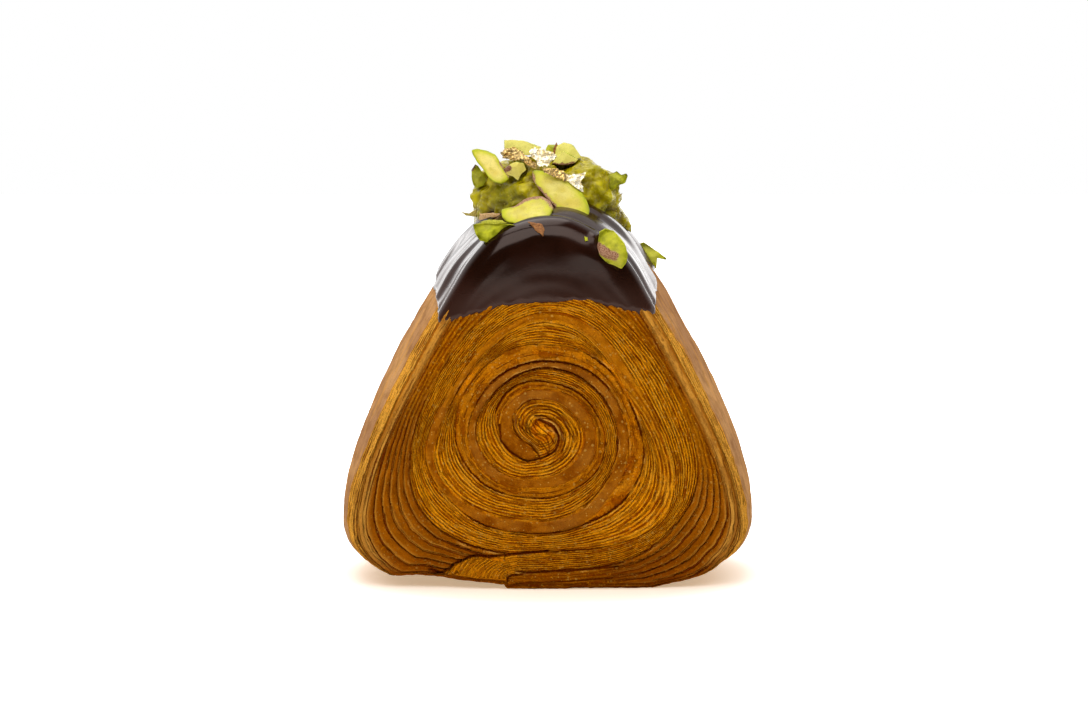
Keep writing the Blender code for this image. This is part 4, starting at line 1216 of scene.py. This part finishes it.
cream = {
    "centre": (0.9, 3.0, 80.2), "radii": (17.2, 17.2, 12.4), "power": 2.7, "splits": 7,
    # noise size, height and seed
    "lumps": ((4.5, 0.8, 41), (2.4, 0.95, 42), (1.2, 0.6, 43), (0.6, 0.26, 44)), "folds": (1.6, 0.5, 47),
    "smoothing": 14, "trimming": 8, "trimAbove": 76.0,
    # its outline seen from the front
    "outline": ((-16.0, 76.0), (-15.93, 80.24), (-16.5, 81.4), (-16.7, 83.2), (-16.7, 85.0), (-16.2, 87.0),
                (-14.5, 88.5), (-12.0, 89.8), (-8.0, 91.2), (-4.0, 92.2), (0.0, 92.6), (3.5, 92.6),
                (7.2, 91.9), (9.6, 91.0), (11.1, 89.7), (13.3, 88.6), (14.8, 88.2), (15.7, 86.6),
                (15.1, 84.4), (15.9, 83.3), (15.2, 81.4), (16.6, 79.6), (17.9, 78.1), (18.5, 76.0),
                (18.5, 70.0), (-16.0, 70.0)),
}


def nodePoints(name):
    node = frame["nodes"][name]
    return np.array([node.matrix_world @ v.co for v in node.data.vertices]) / mm


def nodeTree(name):
    node = frame["nodes"][name]
    return BVHTree.FromPolygons(nodePoints(name).tolist(), [tuple(p.vertices) for p in node.data.polygons])


def ballMesh(splits):
    ball = bmesh.new()
    bmesh.ops.create_icosphere(ball, subdivisions=splits, radius=1.0)
    points = np.array([v.co for v in ball.verts])
    faces = [tuple(v.index for v in face.verts) for face in ball.faces]
    edges = np.array([(edge.verts[0].index, edge.verts[1].index) for edge in ball.edges])
    ball.free()
    return points / np.linalg.norm(points, axis=1, keepdims=True), faces, edges


def makeCream(finish):
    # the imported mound's own form, smoothed, then lumpy
    ways, faces, edges = ballMesh(cream["splits"])
    tree = nodeTree("pistachio_cream")
    centre = np.array(cream["centre"])
    formula = (np.abs(ways / np.array(cream["radii"])) ** cream["power"]).sum(1) ** (-1.0 / cream["power"])
    reach = formula.copy()
    outside = 45.0
    for i, way in enumerate(ways):
        hit = tree.ray_cast(Vector(centre + way * outside), Vector(-way), outside)
        if hit[0] is not None:
            reach[i] = max(outside - hit[3], 0.8 * formula[i])
    degree = np.bincount(edges.ravel(), minlength=len(ways))
    for _ in range(cream["smoothing"]):
        total = np.zeros(len(ways))
        np.add.at(total, edges[:, 0], reach[edges[:, 1]])
        np.add.at(total, edges[:, 1], reach[edges[:, 0]])
        reach = 0.4 * reach + 0.6 * total / degree
    place = centre + ways * reach[:, None]
    lumps = sum(noiseOf(place, settings) for settings in cream["lumps"])
    lumps += np.abs(noiseOf(place, cream["folds"])) - 0.2
    # what stands out of the outline is drawn in, a little at a time
    for _ in range(cream["trimming"]):
        over = -insideOutline(place[:, 0], place[:, 2], cream["outline"]) - 0.1 + 0.5 * lumps
        over = np.where(place[:, 2] > cream["trimAbove"], np.maximum(over, 0.0), 0.0)
        place = place - ways * over[:, None] * 0.8
    piece = makePiece("pistachio_spread", place + ways * lumps[:, None], faces, finish)
    addMask(piece, "raised", lumps)
    return piece


creamLook = {
    "base": (152, 136, 0),
    # the coats by the lumps' height are painted shade in the hollows and a painted highlight on the tops
    "coats": (("patches", 0.35, 0.68, 1.0, (200, 184, 4)), ("raised", 0.1, -1.2, 1.0, (96, 76, 0)),
              ("raised", 0.5, 1.6, 0.5, (216, 206, 50)), ("broad", 0.52, 0.66, 0.45, (116, 116, 4)),
              ("specks", None, None, 0.6, (216, 194, 70))),
    "patch": 2.4, "broad": 8.0, "grain": 0.38, "bump": 0.3,
}


def makeCreamFinish(grain):
    finish, tree, shader = newFinish("pistachioSpread", Roughness=0.25, Specular_IOR_Level=0.24)
    place = placeInMillimetres(tree)
    patches = mottle(tree, place, creamLook["patch"], 3.0)
    grains = useGroup(tree, grain, Place=place, Size=creamLook["grain"])
    masks = {"patches": patches, "broad": mottle(tree, place, creamLook["broad"], 2.0),
             "raised": readMask(tree, "raised"), "specks": grains["Specks"]}
    body = paintByMasks(tree, masks, creamLook["base"], creamLook["coats"])
    roughness = between(tree, patches, 0.3, 0.7, 0.14, 0.38)
    finishUp(tree, shader, body, roughness, scaled(tree, grains["Height"], 0.5, patches), creamLook["bump"])
    return finish


print("cream")
creamFinish = makeCreamFinish(grainGroup)
onPiece(makeCream(creamFinish), "cream", "pistachio_cream")


# nuts: outlines seen from the front, with where the brown skin is left on

nuts = {
    "slice_left": {"flat": True, "cut": 1.0, "skinWidth": 0.22,
        "skin": ((-10.4, 91.2), (-9.5, 89.3), (-8.4, 87.9)),
        "outline": (
            (-16.61, 93.66), (-15.46, 93.91), (-13.29, 93.55), (-11.48, 92.65), (-10.4, 91.2), (-9.5, 89.22),
            (-8.42, 87.78), (-8.6, 87.24), (-10.05, 86.44), (-11.49, 86.69), (-12.76, 87.6), (-14.02, 89.4),
            (-15.46, 91.2), (-16.36, 92.65))},
    "slice_large": {"flat": True, "cut": 0.8, "skinWidth": 0.5,
        "skin": ((-3.5, 88.6), (-3.2, 86.6), (-2.0, 85.2), (-0.4, 83.6), (0.6, 82.6), (1.3, 81.8)),
        "outline": (
            (-3.52, 89.14), (-2.8, 89.5), (-0.65, 89.14), (2.22, 88.25), (4.38, 87.35), (6.17, 85.92),
            (7.61, 84.13), (8.69, 81.97), (9.05, 80.54), (8.51, 79.64), (6.9, 78.92), (5.1, 79.1),
            (2.59, 80.54), (1.15, 81.97), (-0.65, 83.77), (-2.08, 85.56), (-3.34, 87.35))},
    "half_front": {"flat": True, "cut": 0.65, "skinWidth": 0.45,
        "skin": ((-7.5, 81.8), (-5.3, 83.2), (-3.5, 83.75), (-1.4, 83.9), (0.2, 83.0), (1.0, 81.8)),
        "outline": (
            (-10.09, 81.06), (-8.6, 81.4), (-7.06, 81.77), (-5.28, 83.2), (-3.49, 83.73), (-1.35, 83.91),
            (0.43, 83.02), (1.14, 81.41), (0.25, 79.28), (-1.36, 79.1), (-3.14, 78.92), (-4.92, 78.03),
            (-6.71, 78.21), (-8.85, 78.56), (-9.91, 79.63))},
    "green_front": {"cut": 0.0, "slope": 1.3, "facets": 5,
        "outline": (
            (-15.91, 78.14), (-13.78, 78.49), (-9.87, 78.32), (-6.85, 77.96), (-7.39, 76.9), (-9.17, 75.83),
            (-10.94, 75.47), (-11.65, 74.59), (-13.08, 74.34), (-14.5, 74.76), (-15.56, 76.18))},
    "chunk_right": {"cut": 0.15, "facets": 7, "skinWidth": 1.0,
        "skin": ((10.6, 73.6), (11.9, 72.5), (13.9, 71.5)),
        "outline": (
            (10.87, 76.64), (12.1, 77.34), (13.88, 76.81), (15.12, 75.58), (16.18, 74.16), (16.89, 72.03),
            (16.54, 70.26), (15.48, 68.84), (13.89, 69.55), (12.11, 70.44), (10.87, 71.68), (10.34, 73.45),
            (10.69, 75.22))},
    "top": {"cut": 1.2, "slope": 0.28, "facets": 4,
        "outline": (
            (-9.57, 95.75), (-7.57, 95.9), (-5.39, 95.64), (-3.2, 94.91), (-1.57, 94.37), (-1.75, 93.82),
            (-3.57, 93.46), (-4.3, 92.55), (-6.48, 92.55), (-7.57, 93.28), (-9.58, 94.01))},
    "chip_upper": {"cut": 1.2, "slope": 0.22, "facets": 4,
        "outline": (
            (1.35, 92.52), (1.9, 94.53), (3.36, 95.25), (5.18, 94.89), (6.28, 93.61), (7.19, 92.16),
            (5.92, 91.43), (4.46, 91.79), (2.26, 91.79))},
    "chip_lower": {"cut": 1.2, "slope": 0.22, "facets": 4, "skinWidth": 0.25,
        "skin": ((1.2, 90.7), (2.3, 90.5), (4.1, 90.5), (5.7, 91.0)),
        "outline": (
            (0.8, 90.75), (1.89, 92.21), (3.35, 93.48), (4.8, 92.57), (6.62, 91.55), (5.89, 90.93),
            (4.07, 90.39), (2.26, 90.39))},
    "pale_middle": {"cut": 1.1, "slope": 0.5, "facets": 5, "skinWidth": 0.8,
        "skin": ((-9.8, 89.4), (-8.8, 89.9)),
        "outline": (
            (-9.7, 89.38), (-8.25, 90.64), (-6.8, 91.19), (-5.35, 90.83), (-4.7, 89.56), (-5.72, 88.66),
            (-6.62, 87.21), (-7.53, 87.94), (-8.97, 88.48))},
    "green_left": {"cut": 0.2, "facets": 5, "skinWidth": 0.4,
        "skin": ((-16.7, 89.4), (-16.0, 90.5)),
        "outline": (
            (-16.69, 89.28), (-15.95, 90.55), (-15.3, 90.19), (-14.32, 88.55), (-13.59, 87.1), (-14.14, 86.0),
            (-15.6, 85.28), (-16.33, 86.0), (-16.76, 87.82))},
    "green_right": {"cut": 0.1, "facets": 6, "skinWidth": 0.45,
        "skin": ((12.6, 87.9), (12.9, 86.8), (12.9, 85.6)),
        "outline": (
            (12.41, 87.53), (12.95, 88.43), (14.1, 88.7), (14.97, 89.14), (15.88, 88.3), (16.9, 88.6),
            (17.27, 88.19), (16.84, 86.73), (16.2, 86.3), (15.34, 86.05), (14.25, 85.15), (13.1, 85.35),
            (12.59, 86.08))},
    "bit_side": {"cut": 0.0, "facets": 4,
        "outline": (
            (20.28, 73.03), (21.02, 73.33), (22.49, 72.3), (24.33, 71.01), (26.17, 69.72), (25.99, 69.43),
            (23.97, 69.91), (23.79, 67.52), (22.5, 67.7), (21.03, 68.99), (20.29, 71.2))},
    # these lie on the far side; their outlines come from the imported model
    "slice_back": {"flat": True, "cut": 0.9, "back": True},
    "half_back": {"flat": True, "cut": 0.8, "back": True},
    "chunk_back": {"cut": 0.3, "back": True, "facets": 7},
    "green_back": {"cut": 0.0, "back": True, "facets": 6},
    "top_back": {"cut": 0.5, "back": True, "facets": 5, "topAt": 94.6},
}


nutForm = {
    "columns": 72, "slope": 0.9, "dome": 0.18, "least": 0.35, "uneven": 0.12, "chipFace": 0.42,
    # round the rim and under the nut: share of the way out, and side, 1 in front and -1 behind
    "profile": ((0.995, 0.72), (1.0, 0.35), (1.0, 0.0), (0.99, -0.3), (0.95, -1.0), (0.86, -1.0),
                (0.72, -1.0), (0.5, -1.0), (0.25, -1.0), (0.0, -1.0)),
    "skinEdge": ((0.8, 0.25, 70), (0.35, 0.15, 71)),
}


def hullOf(points):
    # convex outline of points (x, z)
    ordered = sorted(map(tuple, points))
    halves = []
    for run in (ordered, ordered[::-1]):
        half = []
        for px, pz in run:
            while len(half) > 1:
                (ax, az), (bx, bz) = half[-2:]
                if (bx - ax) * (pz - az) - (bz - az) * (px - ax) > 0:
                    break
                half.pop()
            half.append((px, pz))
        halves += half[:-1]
    return halves


def evenOutline(outline, count, soften=1):
    closed = np.array(list(outline) + [outline[0]], float)
    length = np.concatenate([[0.0], np.cumsum(np.linalg.norm(np.diff(closed, axis=0), axis=1))])
    at = np.linspace(0.0, length[-1], count, endpoint=False)
    even = np.stack([np.interp(at, length, closed[:, 0]), np.interp(at, length, closed[:, 1])], 1)
    for _ in range(soften):
        even = 0.5 * even + 0.25 * (np.roll(even, 1, 0) + np.roll(even, -1, 0))
    return even


def makeNut(name, node, seed, want, finish):
    points = nodePoints(node)
    low, high = points.min(0), points.max(0)
    middle = (low + high) * 0.5
    facing = 1.0 if want.get("back") else -1.0
    normal = np.array([0.0, facing, 0.0])
    half = (high[1] - low[1]) * 0.5
    if want.get("flat"):
        # a slice lies as its solid does
        middle = points.mean(0)
        vectors = np.linalg.eigh(np.cov((points - middle).T))[1]
        normal = vectors[:, 0] * (1.0 if vectors[1, 0] * facing > 0.0 else -1.0)
        half = np.abs((points - middle) @ normal).max() * 0.85
    outline = want.get("outline") or hullOf(points[:, [0, 2]])
    if want.get("topAt"):
        outline = [(px, min(pz, want["topAt"])) for px, pz in outline]
    facetCount = want.get("facets", 0)
    ring = evenOutline(outline, nutForm["columns"], 0 if facetCount else 1)
    hub = ring.mean(0)
    draw = random.Random(seed)
    facets = []
    for k in range(facetCount):
        around = 2.0 * math.pi * (k + draw.uniform(-0.3, 0.3)) / facetCount
        facets.append((math.cos(around), math.sin(around), draw.uniform(0.55, 1.1)))
    reach = np.linalg.norm(ring - hub, axis=1).max()
    chip = nutForm["chipFace"] if want["cut"] > 0.8 and facets else 1.0
    profile = [(s, 1.0) for s in np.linspace(0.0, 0.98, 17)] + list(nutForm["profile"])
    rows = []
    edge = []
    for share, side in profile:
        spot = hub + (ring - hub) * share
        flat = (spot - hub) / reach
        level = np.full(len(spot), side)
        if side == 1.0 and facets:
            for fx, fz, lift in facets:
                slope = want.get("slope", nutForm["slope"]) * (flat[:, 0] * fx + flat[:, 1] * fz)
                level = np.minimum(level, lift + 0.3 - slope)
            level = np.maximum(level, nutForm["least"])
        elif side == 1.0:
            level = level * (1.0 - nutForm["dome"] * share ** 6)
        elif side == -1.0:
            level = np.full(len(spot), -0.15 - 0.85 * math.sqrt(max(0.0, 1.0 - share ** 2.4)))
        base = (spot[:, 0] - middle[0]) * normal[0] + (spot[:, 1] - middle[2]) * normal[2]
        depth = middle[1] - base / normal[1] + level * half / abs(normal[1]) * facing
        rows.append(np.stack([spot[:, 0], depth, spot[:, 1]], 1))
        edge.append(np.full(len(spot), share * chip if side == 1.0 else 1.3))
    grid = np.stack(rows, 1)
    grid += np.stack([softNoise(grid, 1.3, more + seed) for more in (60, 90, 120)], -1) * nutForm["uneven"]
    faces = gridFaces(nutForm["columns"], len(profile), True)
    if facing < 0.0:
        faces = [face[::-1] for face in faces]
    piece = makePiece(name, grid.reshape(-1, 3), faces, finish)
    skin = np.zeros(grid.shape[:2])
    if want.get("skin"):
        away = distanceToLine(grid[..., 0], grid[..., 2], want["skin"])
        away = away + sum(noiseOf(grid, settings) for settings in nutForm["skinEdge"])
        skin = ease(away, want["skinWidth"] + 0.12, want["skinWidth"] - 0.12)
    addMask(piece, "edge", np.stack(edge, 1))
    addMask(piece, "skin", skin)
    addMask(piece, "cut", np.full(grid.shape[:2], want["cut"]))
    return piece


nutLook = {
    "face": (232, 206, 86),
    "faceCoats": (("broad", 0.35, 0.65, 1.0, (248, 230, 132)), ("patches", 0.55, 0.7, 0.5, (206, 190, 60)),
                  ("cut", 1.0, 1.2, 1.0, (255, 244, 128)), ("wavering", 0.45, 0.9, 1.0, (216, 208, 60))),
    "rim": (136, 148, 4), "rimCoats": (("patches", 0.35, 0.65, 1.0, (190, 194, 24)),),
    "green": (146, 150, 4),
    "greenCoats": (("patches", 0.3, 0.7, 1.0, (206, 206, 40)), ("broad", 0.5, 0.7, 0.6, (224, 216, 84))),
    "skin": (112, 62, 34), "skinCoats": (("grain", 0.35, 0.62, 1.0, (196, 150, 118)),),
    "pits": (140, 124, 20), "patch": 1.6, "broad": 4.5, "grain": 0.22, "bump": 0.14,
}


def makeNutFinish(grain):
    finish, tree, shader = newFinish("pistachioNut", Roughness=0.5, Specular_IOR_Level=0.2)
    place = placeInMillimetres(tree)
    patches = mottle(tree, place, nutLook["patch"], 3.0)
    grains = useGroup(tree, grain, Place=place, Size=nutLook["grain"])
    wavering = scaled(tree, centred(tree, patches), 0.35, readMask(tree, "edge"))
    masks = {"patches": patches, "broad": mottle(tree, place, nutLook["broad"], 2.0),
             "cut": readMask(tree, "cut"), "wavering": wavering, "grain": grains["Value"]}
    tones = {name: paintByMasks(tree, masks, nutLook[name], nutLook[name + "Coats"])
             for name in ("face", "rim", "green", "skin")}
    cutFace = blend(tree, between(tree, wavering, 0.80, 1.0), tones["face"], tones["rim"])
    body = paint(tree, tones["green"], (masks["cut"], cutFace),
                 (times(tree, between(tree, grains["Value"], 0.45, 0.28), 0.4), toLinear(*nutLook["pits"])),
                 (readMask(tree, "skin"), tones["skin"]))
    roughness = between(tree, patches, 0.3, 0.7, 0.42, 0.62)
    finishUp(tree, shader, body, roughness, scaled(tree, grains["Height"], 0.5, patches), nutLook["bump"])
    return finish


print("nuts")
nutFinish = makeNutFinish(grainGroup)
carryingPieces = {"pastry_roll", "chocolate_cap", "pistachio_spread"} | {"pistachio_" + name for name in nuts}
for seed, (nutName, want) in enumerate(nuts.items(), 1):
    node = "nut_" + nutName
    piece = makeNut("pistachio_" + nutName, node, seed, want, nutFinish)
    onPiece(piece, "nut_cut" if want.get("flat") else "nut_green", node)


# small bits that lie on the nuts, the cream and the chocolate: outline seen from the front, thickness,
# tone (up to 0.4 green, 1 tan, 1.2 brown), seed, and the depth of those that reach past what carries them
bits = {
    "sliver_tan": {"thick": 0.9, "tone": 1.0, "seed": 31,
        "outline": (
            (-15.02, 79.91), (-12.71, 80.09), (-10.58, 80.02), (-9.69, 79.56), (-10.23, 79.2), (-12.71, 79.2),
            (-15.02, 78.32), (-14.77, 79.38))},
    "sliver_green": {"thick": 0.7, "tone": 0.5, "seed": 32,
        "outline": ((-14.77, 78.67), (-12.36, 79.13), (-10.05, 79.1), (-8.74, 78.39), (-12.0, 78.24))},
    "flake_brown": {"thick": 0.5, "tone": 1.2, "seed": 33,
        "outline": (
            (-4.35, 78.79), (-2.76, 78.62), (-1.34, 78.26), (-0.71, 77.03), (-1.17, 75.54), (-1.7, 76.32),
            (-3.11, 77.38))},
    "spike_left": {"thick": 0.8, "tone": 0.7, "seed": 34, "depth": -4.0,
        "outline": (
            (-18.9, 80.1), (-17.65, 79.65), (-16.3, 80.4), (-14.8, 80.2), (-14.8, 79.0), (-16.5, 79.05),
            (-18.2, 79.35))},
    "spike_right": {"thick": 0.8, "tone": 0.7, "seed": 35, "depth": -6.0,
        "outline": (
            (14.0, 82.3), (14.47, 82.73), (15.02, 83.64), (16.37, 84.26), (15.75, 83.27), (15.02, 82.55),
            (14.4, 81.9))},
    "spike_top": {"thick": 0.6, "tone": 1.2, "seed": 36, "depth": -5.0,
        "outline": ((0.9, 91.3), (1.0, 93.0), (1.09, 93.93), (1.82, 95.39), (2.15, 94.55), (1.95, 93.2),
                    (1.9, 91.3))},
    "crumb_green": {"thick": 0.5, "tone": 0.3, "seed": 37,
        "outline": ((7.75, 75.71), (8.35, 75.5), (8.45, 74.7), (7.85, 74.8))},
}


bitForm = {
    "columns": 36, "uneven": 0.12, "sunk": 0.25, "nearest": 1.2, "steepest": 0.5,
    # share of the way out, and side, -1 in front and 1 behind
    "profile": ((0.0, -1.0), (0.5, -1.0), (0.85, -0.9), (1.0, -0.3), (1.0, 0.5), (0.6, 1.0), (0.0, 1.0)),
}


def carriedAt(ring, carriers):
    # depth of what carries a bit as a plane over (x, z): from the front onto the nearest surfaces
    spots, depths = [], []
    for px, pz in ring:
        hits = [tree.ray_cast(Vector((px, -60.0, pz)), Vector((0.0, 1.0, 0.0)), 80.0)[0] for tree in carriers]
        near = [hit.y for hit in hits if hit is not None]
        if near:
            spots.append((px, pz, 1.0))
            depths.append(min(near))
    spots, depths = np.array(spots), np.array(depths)
    close = depths <= depths.min() + bitForm["nearest"]
    if close.sum() < 8:
        return 0.0, 0.0, float(np.percentile(depths, 20))
    tilt = np.linalg.lstsq(spots[close], depths[close], rcond=None)[0][:2]
    tiltX, tiltZ = np.clip(tilt, -bitForm["steepest"], bitForm["steepest"])
    return tiltX, tiltZ, float(np.median(depths[close] - spots[close, 0] * tiltX - spots[close, 1] * tiltZ))


def makeBit(name, want, carriers, finish):
    ring = evenOutline(want["outline"], bitForm["columns"], 0)
    hub = ring.mean(0)
    flat = np.stack([ring[:, 0], np.zeros(len(ring)), ring[:, 1]], 1)
    shifts = [softNoise(flat, 0.7, want["seed"] + k) for k in range(2)]
    ring = ring + bitForm["uneven"] * np.stack(shifts, 1)
    if "depth" in want:
        tiltX, tiltZ, depth = 0.0, 0.0, want["depth"]
    else:
        tiltX, tiltZ, depth = carriedAt(hub + (ring - hub) * 0.8, carriers)
    rows = []
    for share, side in bitForm["profile"]:
        spot = hub + (ring - hub) * share
        level = depth + spot[:, 0] * tiltX + spot[:, 1] * tiltZ - bitForm["sunk"] + side * want["thick"] * 0.5
        rows.append(np.stack([spot[:, 0], level, spot[:, 1]], 1))
    grid = np.stack(rows, 1)
    grid = grid + bitForm["uneven"] * softNoise(grid, 0.6, want["seed"])[..., None]
    faces = [face[::-1] for face in gridFaces(bitForm["columns"], len(rows), True)]
    piece = makePiece(name, grid.reshape(-1, 3), faces, finish)
    addMask(piece, "tone", np.full(grid.shape[:2], want["tone"]))
    return piece


bitLook = {
    "grain": 0.2, "bump": 0.12,
    # two colours each, and the tones between which the next takes over
    "tones": (((140, 146, 4), (204, 202, 50), None), ((196, 146, 84), (236, 200, 150), (0.4, 1.0)),
              ((104, 58, 28), (188, 128, 72), (1.0, 1.2))),
}


def makeBitFinish(grain):
    finish, tree, shader = newFinish("nutSkin", Roughness=0.6, Specular_IOR_Level=0.2)
    grains = useGroup(tree, grain, Place=placeInMillimetres(tree), Size=bitLook["grain"])
    tone = readMask(tree, "tone")
    body = None
    for dark, light, tonesFrom in bitLook["tones"]:
        colour = blend(tree, between(tree, grains["Value"], 0.35, 0.65), toLinear(*dark), toLinear(*light))
        body = blend(tree, between(tree, tone, *tonesFrom), body, colour) if tonesFrom else colour
    roughness = between(tree, grains["Value"], 0.3, 0.7, 0.5, 0.7)
    finishUp(tree, shader, body, roughness, grains["Height"], bitLook["bump"])
    return finish


print("small bits")
bitFinish = makeBitFinish(grainGroup)
carriers = []
for piece in bpy.context.scene.objects:
    if piece.type == "MESH" and piece.name in carryingPieces:
        corners = [tuple(v.co / mm) for v in piece.data.vertices]
        carriers.append(BVHTree.FromPolygons(corners, [tuple(p.vertices) for p in piece.data.polygons]))
for bitName, want in bits.items():
    onPiece(makeBit("bit_" + bitName, want, carriers, bitFinish), "nut_green")


# gold leaf

leaves = {  # outline seen from the front, how dark, and from where on it is pale
    "left": {"dark": 0.75,
        "outline": (
            (-10.57, 93.38), (-9.3, 94.28), (-7.5, 94.46), (-6.06, 93.38), (-4.98, 92.3), (-3.17, 91.58),
            (-2.09, 90.32), (-2.81, 89.6), (-4.26, 90.32), (-5.7, 91.58), (-7.86, 91.58), (-9.67, 91.76))},
    "middle": {"dark": 0.0,
        "outline": (
            (-4.25, 92.68), (-3.53, 93.94), (-1.37, 94.12), (0.79, 93.58), (1.87, 92.68), (1.15, 91.78),
            (0.07, 90.34), (-1.73, 90.16), (-2.63, 91.24))},
    "strip": {"dark": 0.8, "paleFrom": 3.5,
        "outline": (
            (-1.72, 89.84), (0.79, 90.02), (2.95, 89.48), (4.56, 88.6), (6.9, 88.69), (8.34, 88.94),
            (7.62, 87.69), (6.9, 86.97), (7.62, 85.89), (7.44, 84.82), (5.82, 85.89), (4.02, 86.97),
            (1.87, 88.05), (-0.65, 88.76))},
}


leafForm = {
    "step": 0.17, "margin": 0.6, "forward": 0.4, "slide": (0.5, 0.18, 250), "paleWidth": 1.5,
    # noise size, height and seed
    "ragged": ((0.9, 0.32, 200), (0.35, 0.2, 210)), "creases": ((1.5, 0.9, 220), (0.7, 0.45, 230)),
    "crinkle": (0.3, 0.15, 240),
}


def makeLeaf(name, node, seed, want, finish):
    points = nodePoints(node)
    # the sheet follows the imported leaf: depth as a plane through its points
    plane = np.stack([points[:, 0], points[:, 2], np.ones(len(points))], 1)
    tiltX, tiltZ, depth = np.linalg.lstsq(plane, points[:, 1], rcond=None)[0]
    outline = np.array(want["outline"])
    low, high = outline.min(0) - leafForm["margin"], outline.max(0) + leafForm["margin"]
    across, up = (np.arange(low[k], high[k], leafForm["step"]) for k in range(2))
    x, z = np.meshgrid(across, up, indexing="ij")
    flat = np.stack([x, np.zeros_like(x), z], -1)

    def noise(settings):
        size, height, shift = settings
        return height * softNoise(flat, size, shift + seed)

    depthIn = insideOutline(x, z, want["outline"]) + sum(noise(settings) for settings in leafForm["ragged"])
    crumple = sum(np.abs(noise(settings)) for settings in leafForm["creases"]) + noise(leafForm["crinkle"])
    y = tiltX * x + tiltZ * z + depth - crumple + leafForm["forward"]
    slide = noise(leafForm["slide"])
    place = np.stack([x + slide, y, z + np.roll(slide, 3, 0)], -1).reshape(-1, 3)
    inside = (depthIn > 0.0).reshape(-1)
    faces = [face for face in gridFaces(len(across), len(up)) if sum(inside[i] for i in face) > 2]
    used, faces = keptPart(place, faces)
    piece = makePiece(name, place[used], faces, finish, smooth=False)
    paleFrom = want.get("paleFrom", 60.0)
    addMask(piece, "dark", want["dark"] * ease(place[used][:, 0], paleFrom + leafForm["paleWidth"], paleFrom))
    return piece


leafLook = {
    "bright": (226, 200, 130), "brightCoats": (("patches", 0.3, 0.62, 1.0, (255, 248, 226)),),
    "dark": (96, 60, 4), "darkCoats": (("patches", 0.35, 0.62, 1.0, (232, 184, 44)),),
    "patch": 0.7, "fine": 0.25, "bump": 0.12,
}


def makeLeafFinish():
    finish, tree, shader = newFinish("goldLeaf", Metallic=0.75, Roughness=0.3)
    place = placeInMillimetres(tree)
    patches = mottle(tree, place, leafLook["patch"], 3.0, 0.65)
    bright, dark = (paintByMasks(tree, {"patches": patches}, leafLook[name], leafLook[name + "Coats"])
                    for name in ("bright", "dark"))
    body = blend(tree, readMask(tree, "dark"), bright, dark)
    roughness = between(tree, patches, 0.3, 0.7, 0.45, 0.22)
    finishUp(tree, shader, body, roughness, mottle(tree, place, leafLook["fine"], 2.0), leafLook["bump"])
    return finish


print("gold leaf")
leafFinish = makeLeafFinish()
for seed, (leafName, want) in enumerate(leaves.items(), 1):
    node = "gold_leaf_" + leafName
    onPiece(makeLeaf("leaf_" + leafName, node, seed, want, leafFinish), "gold", node)
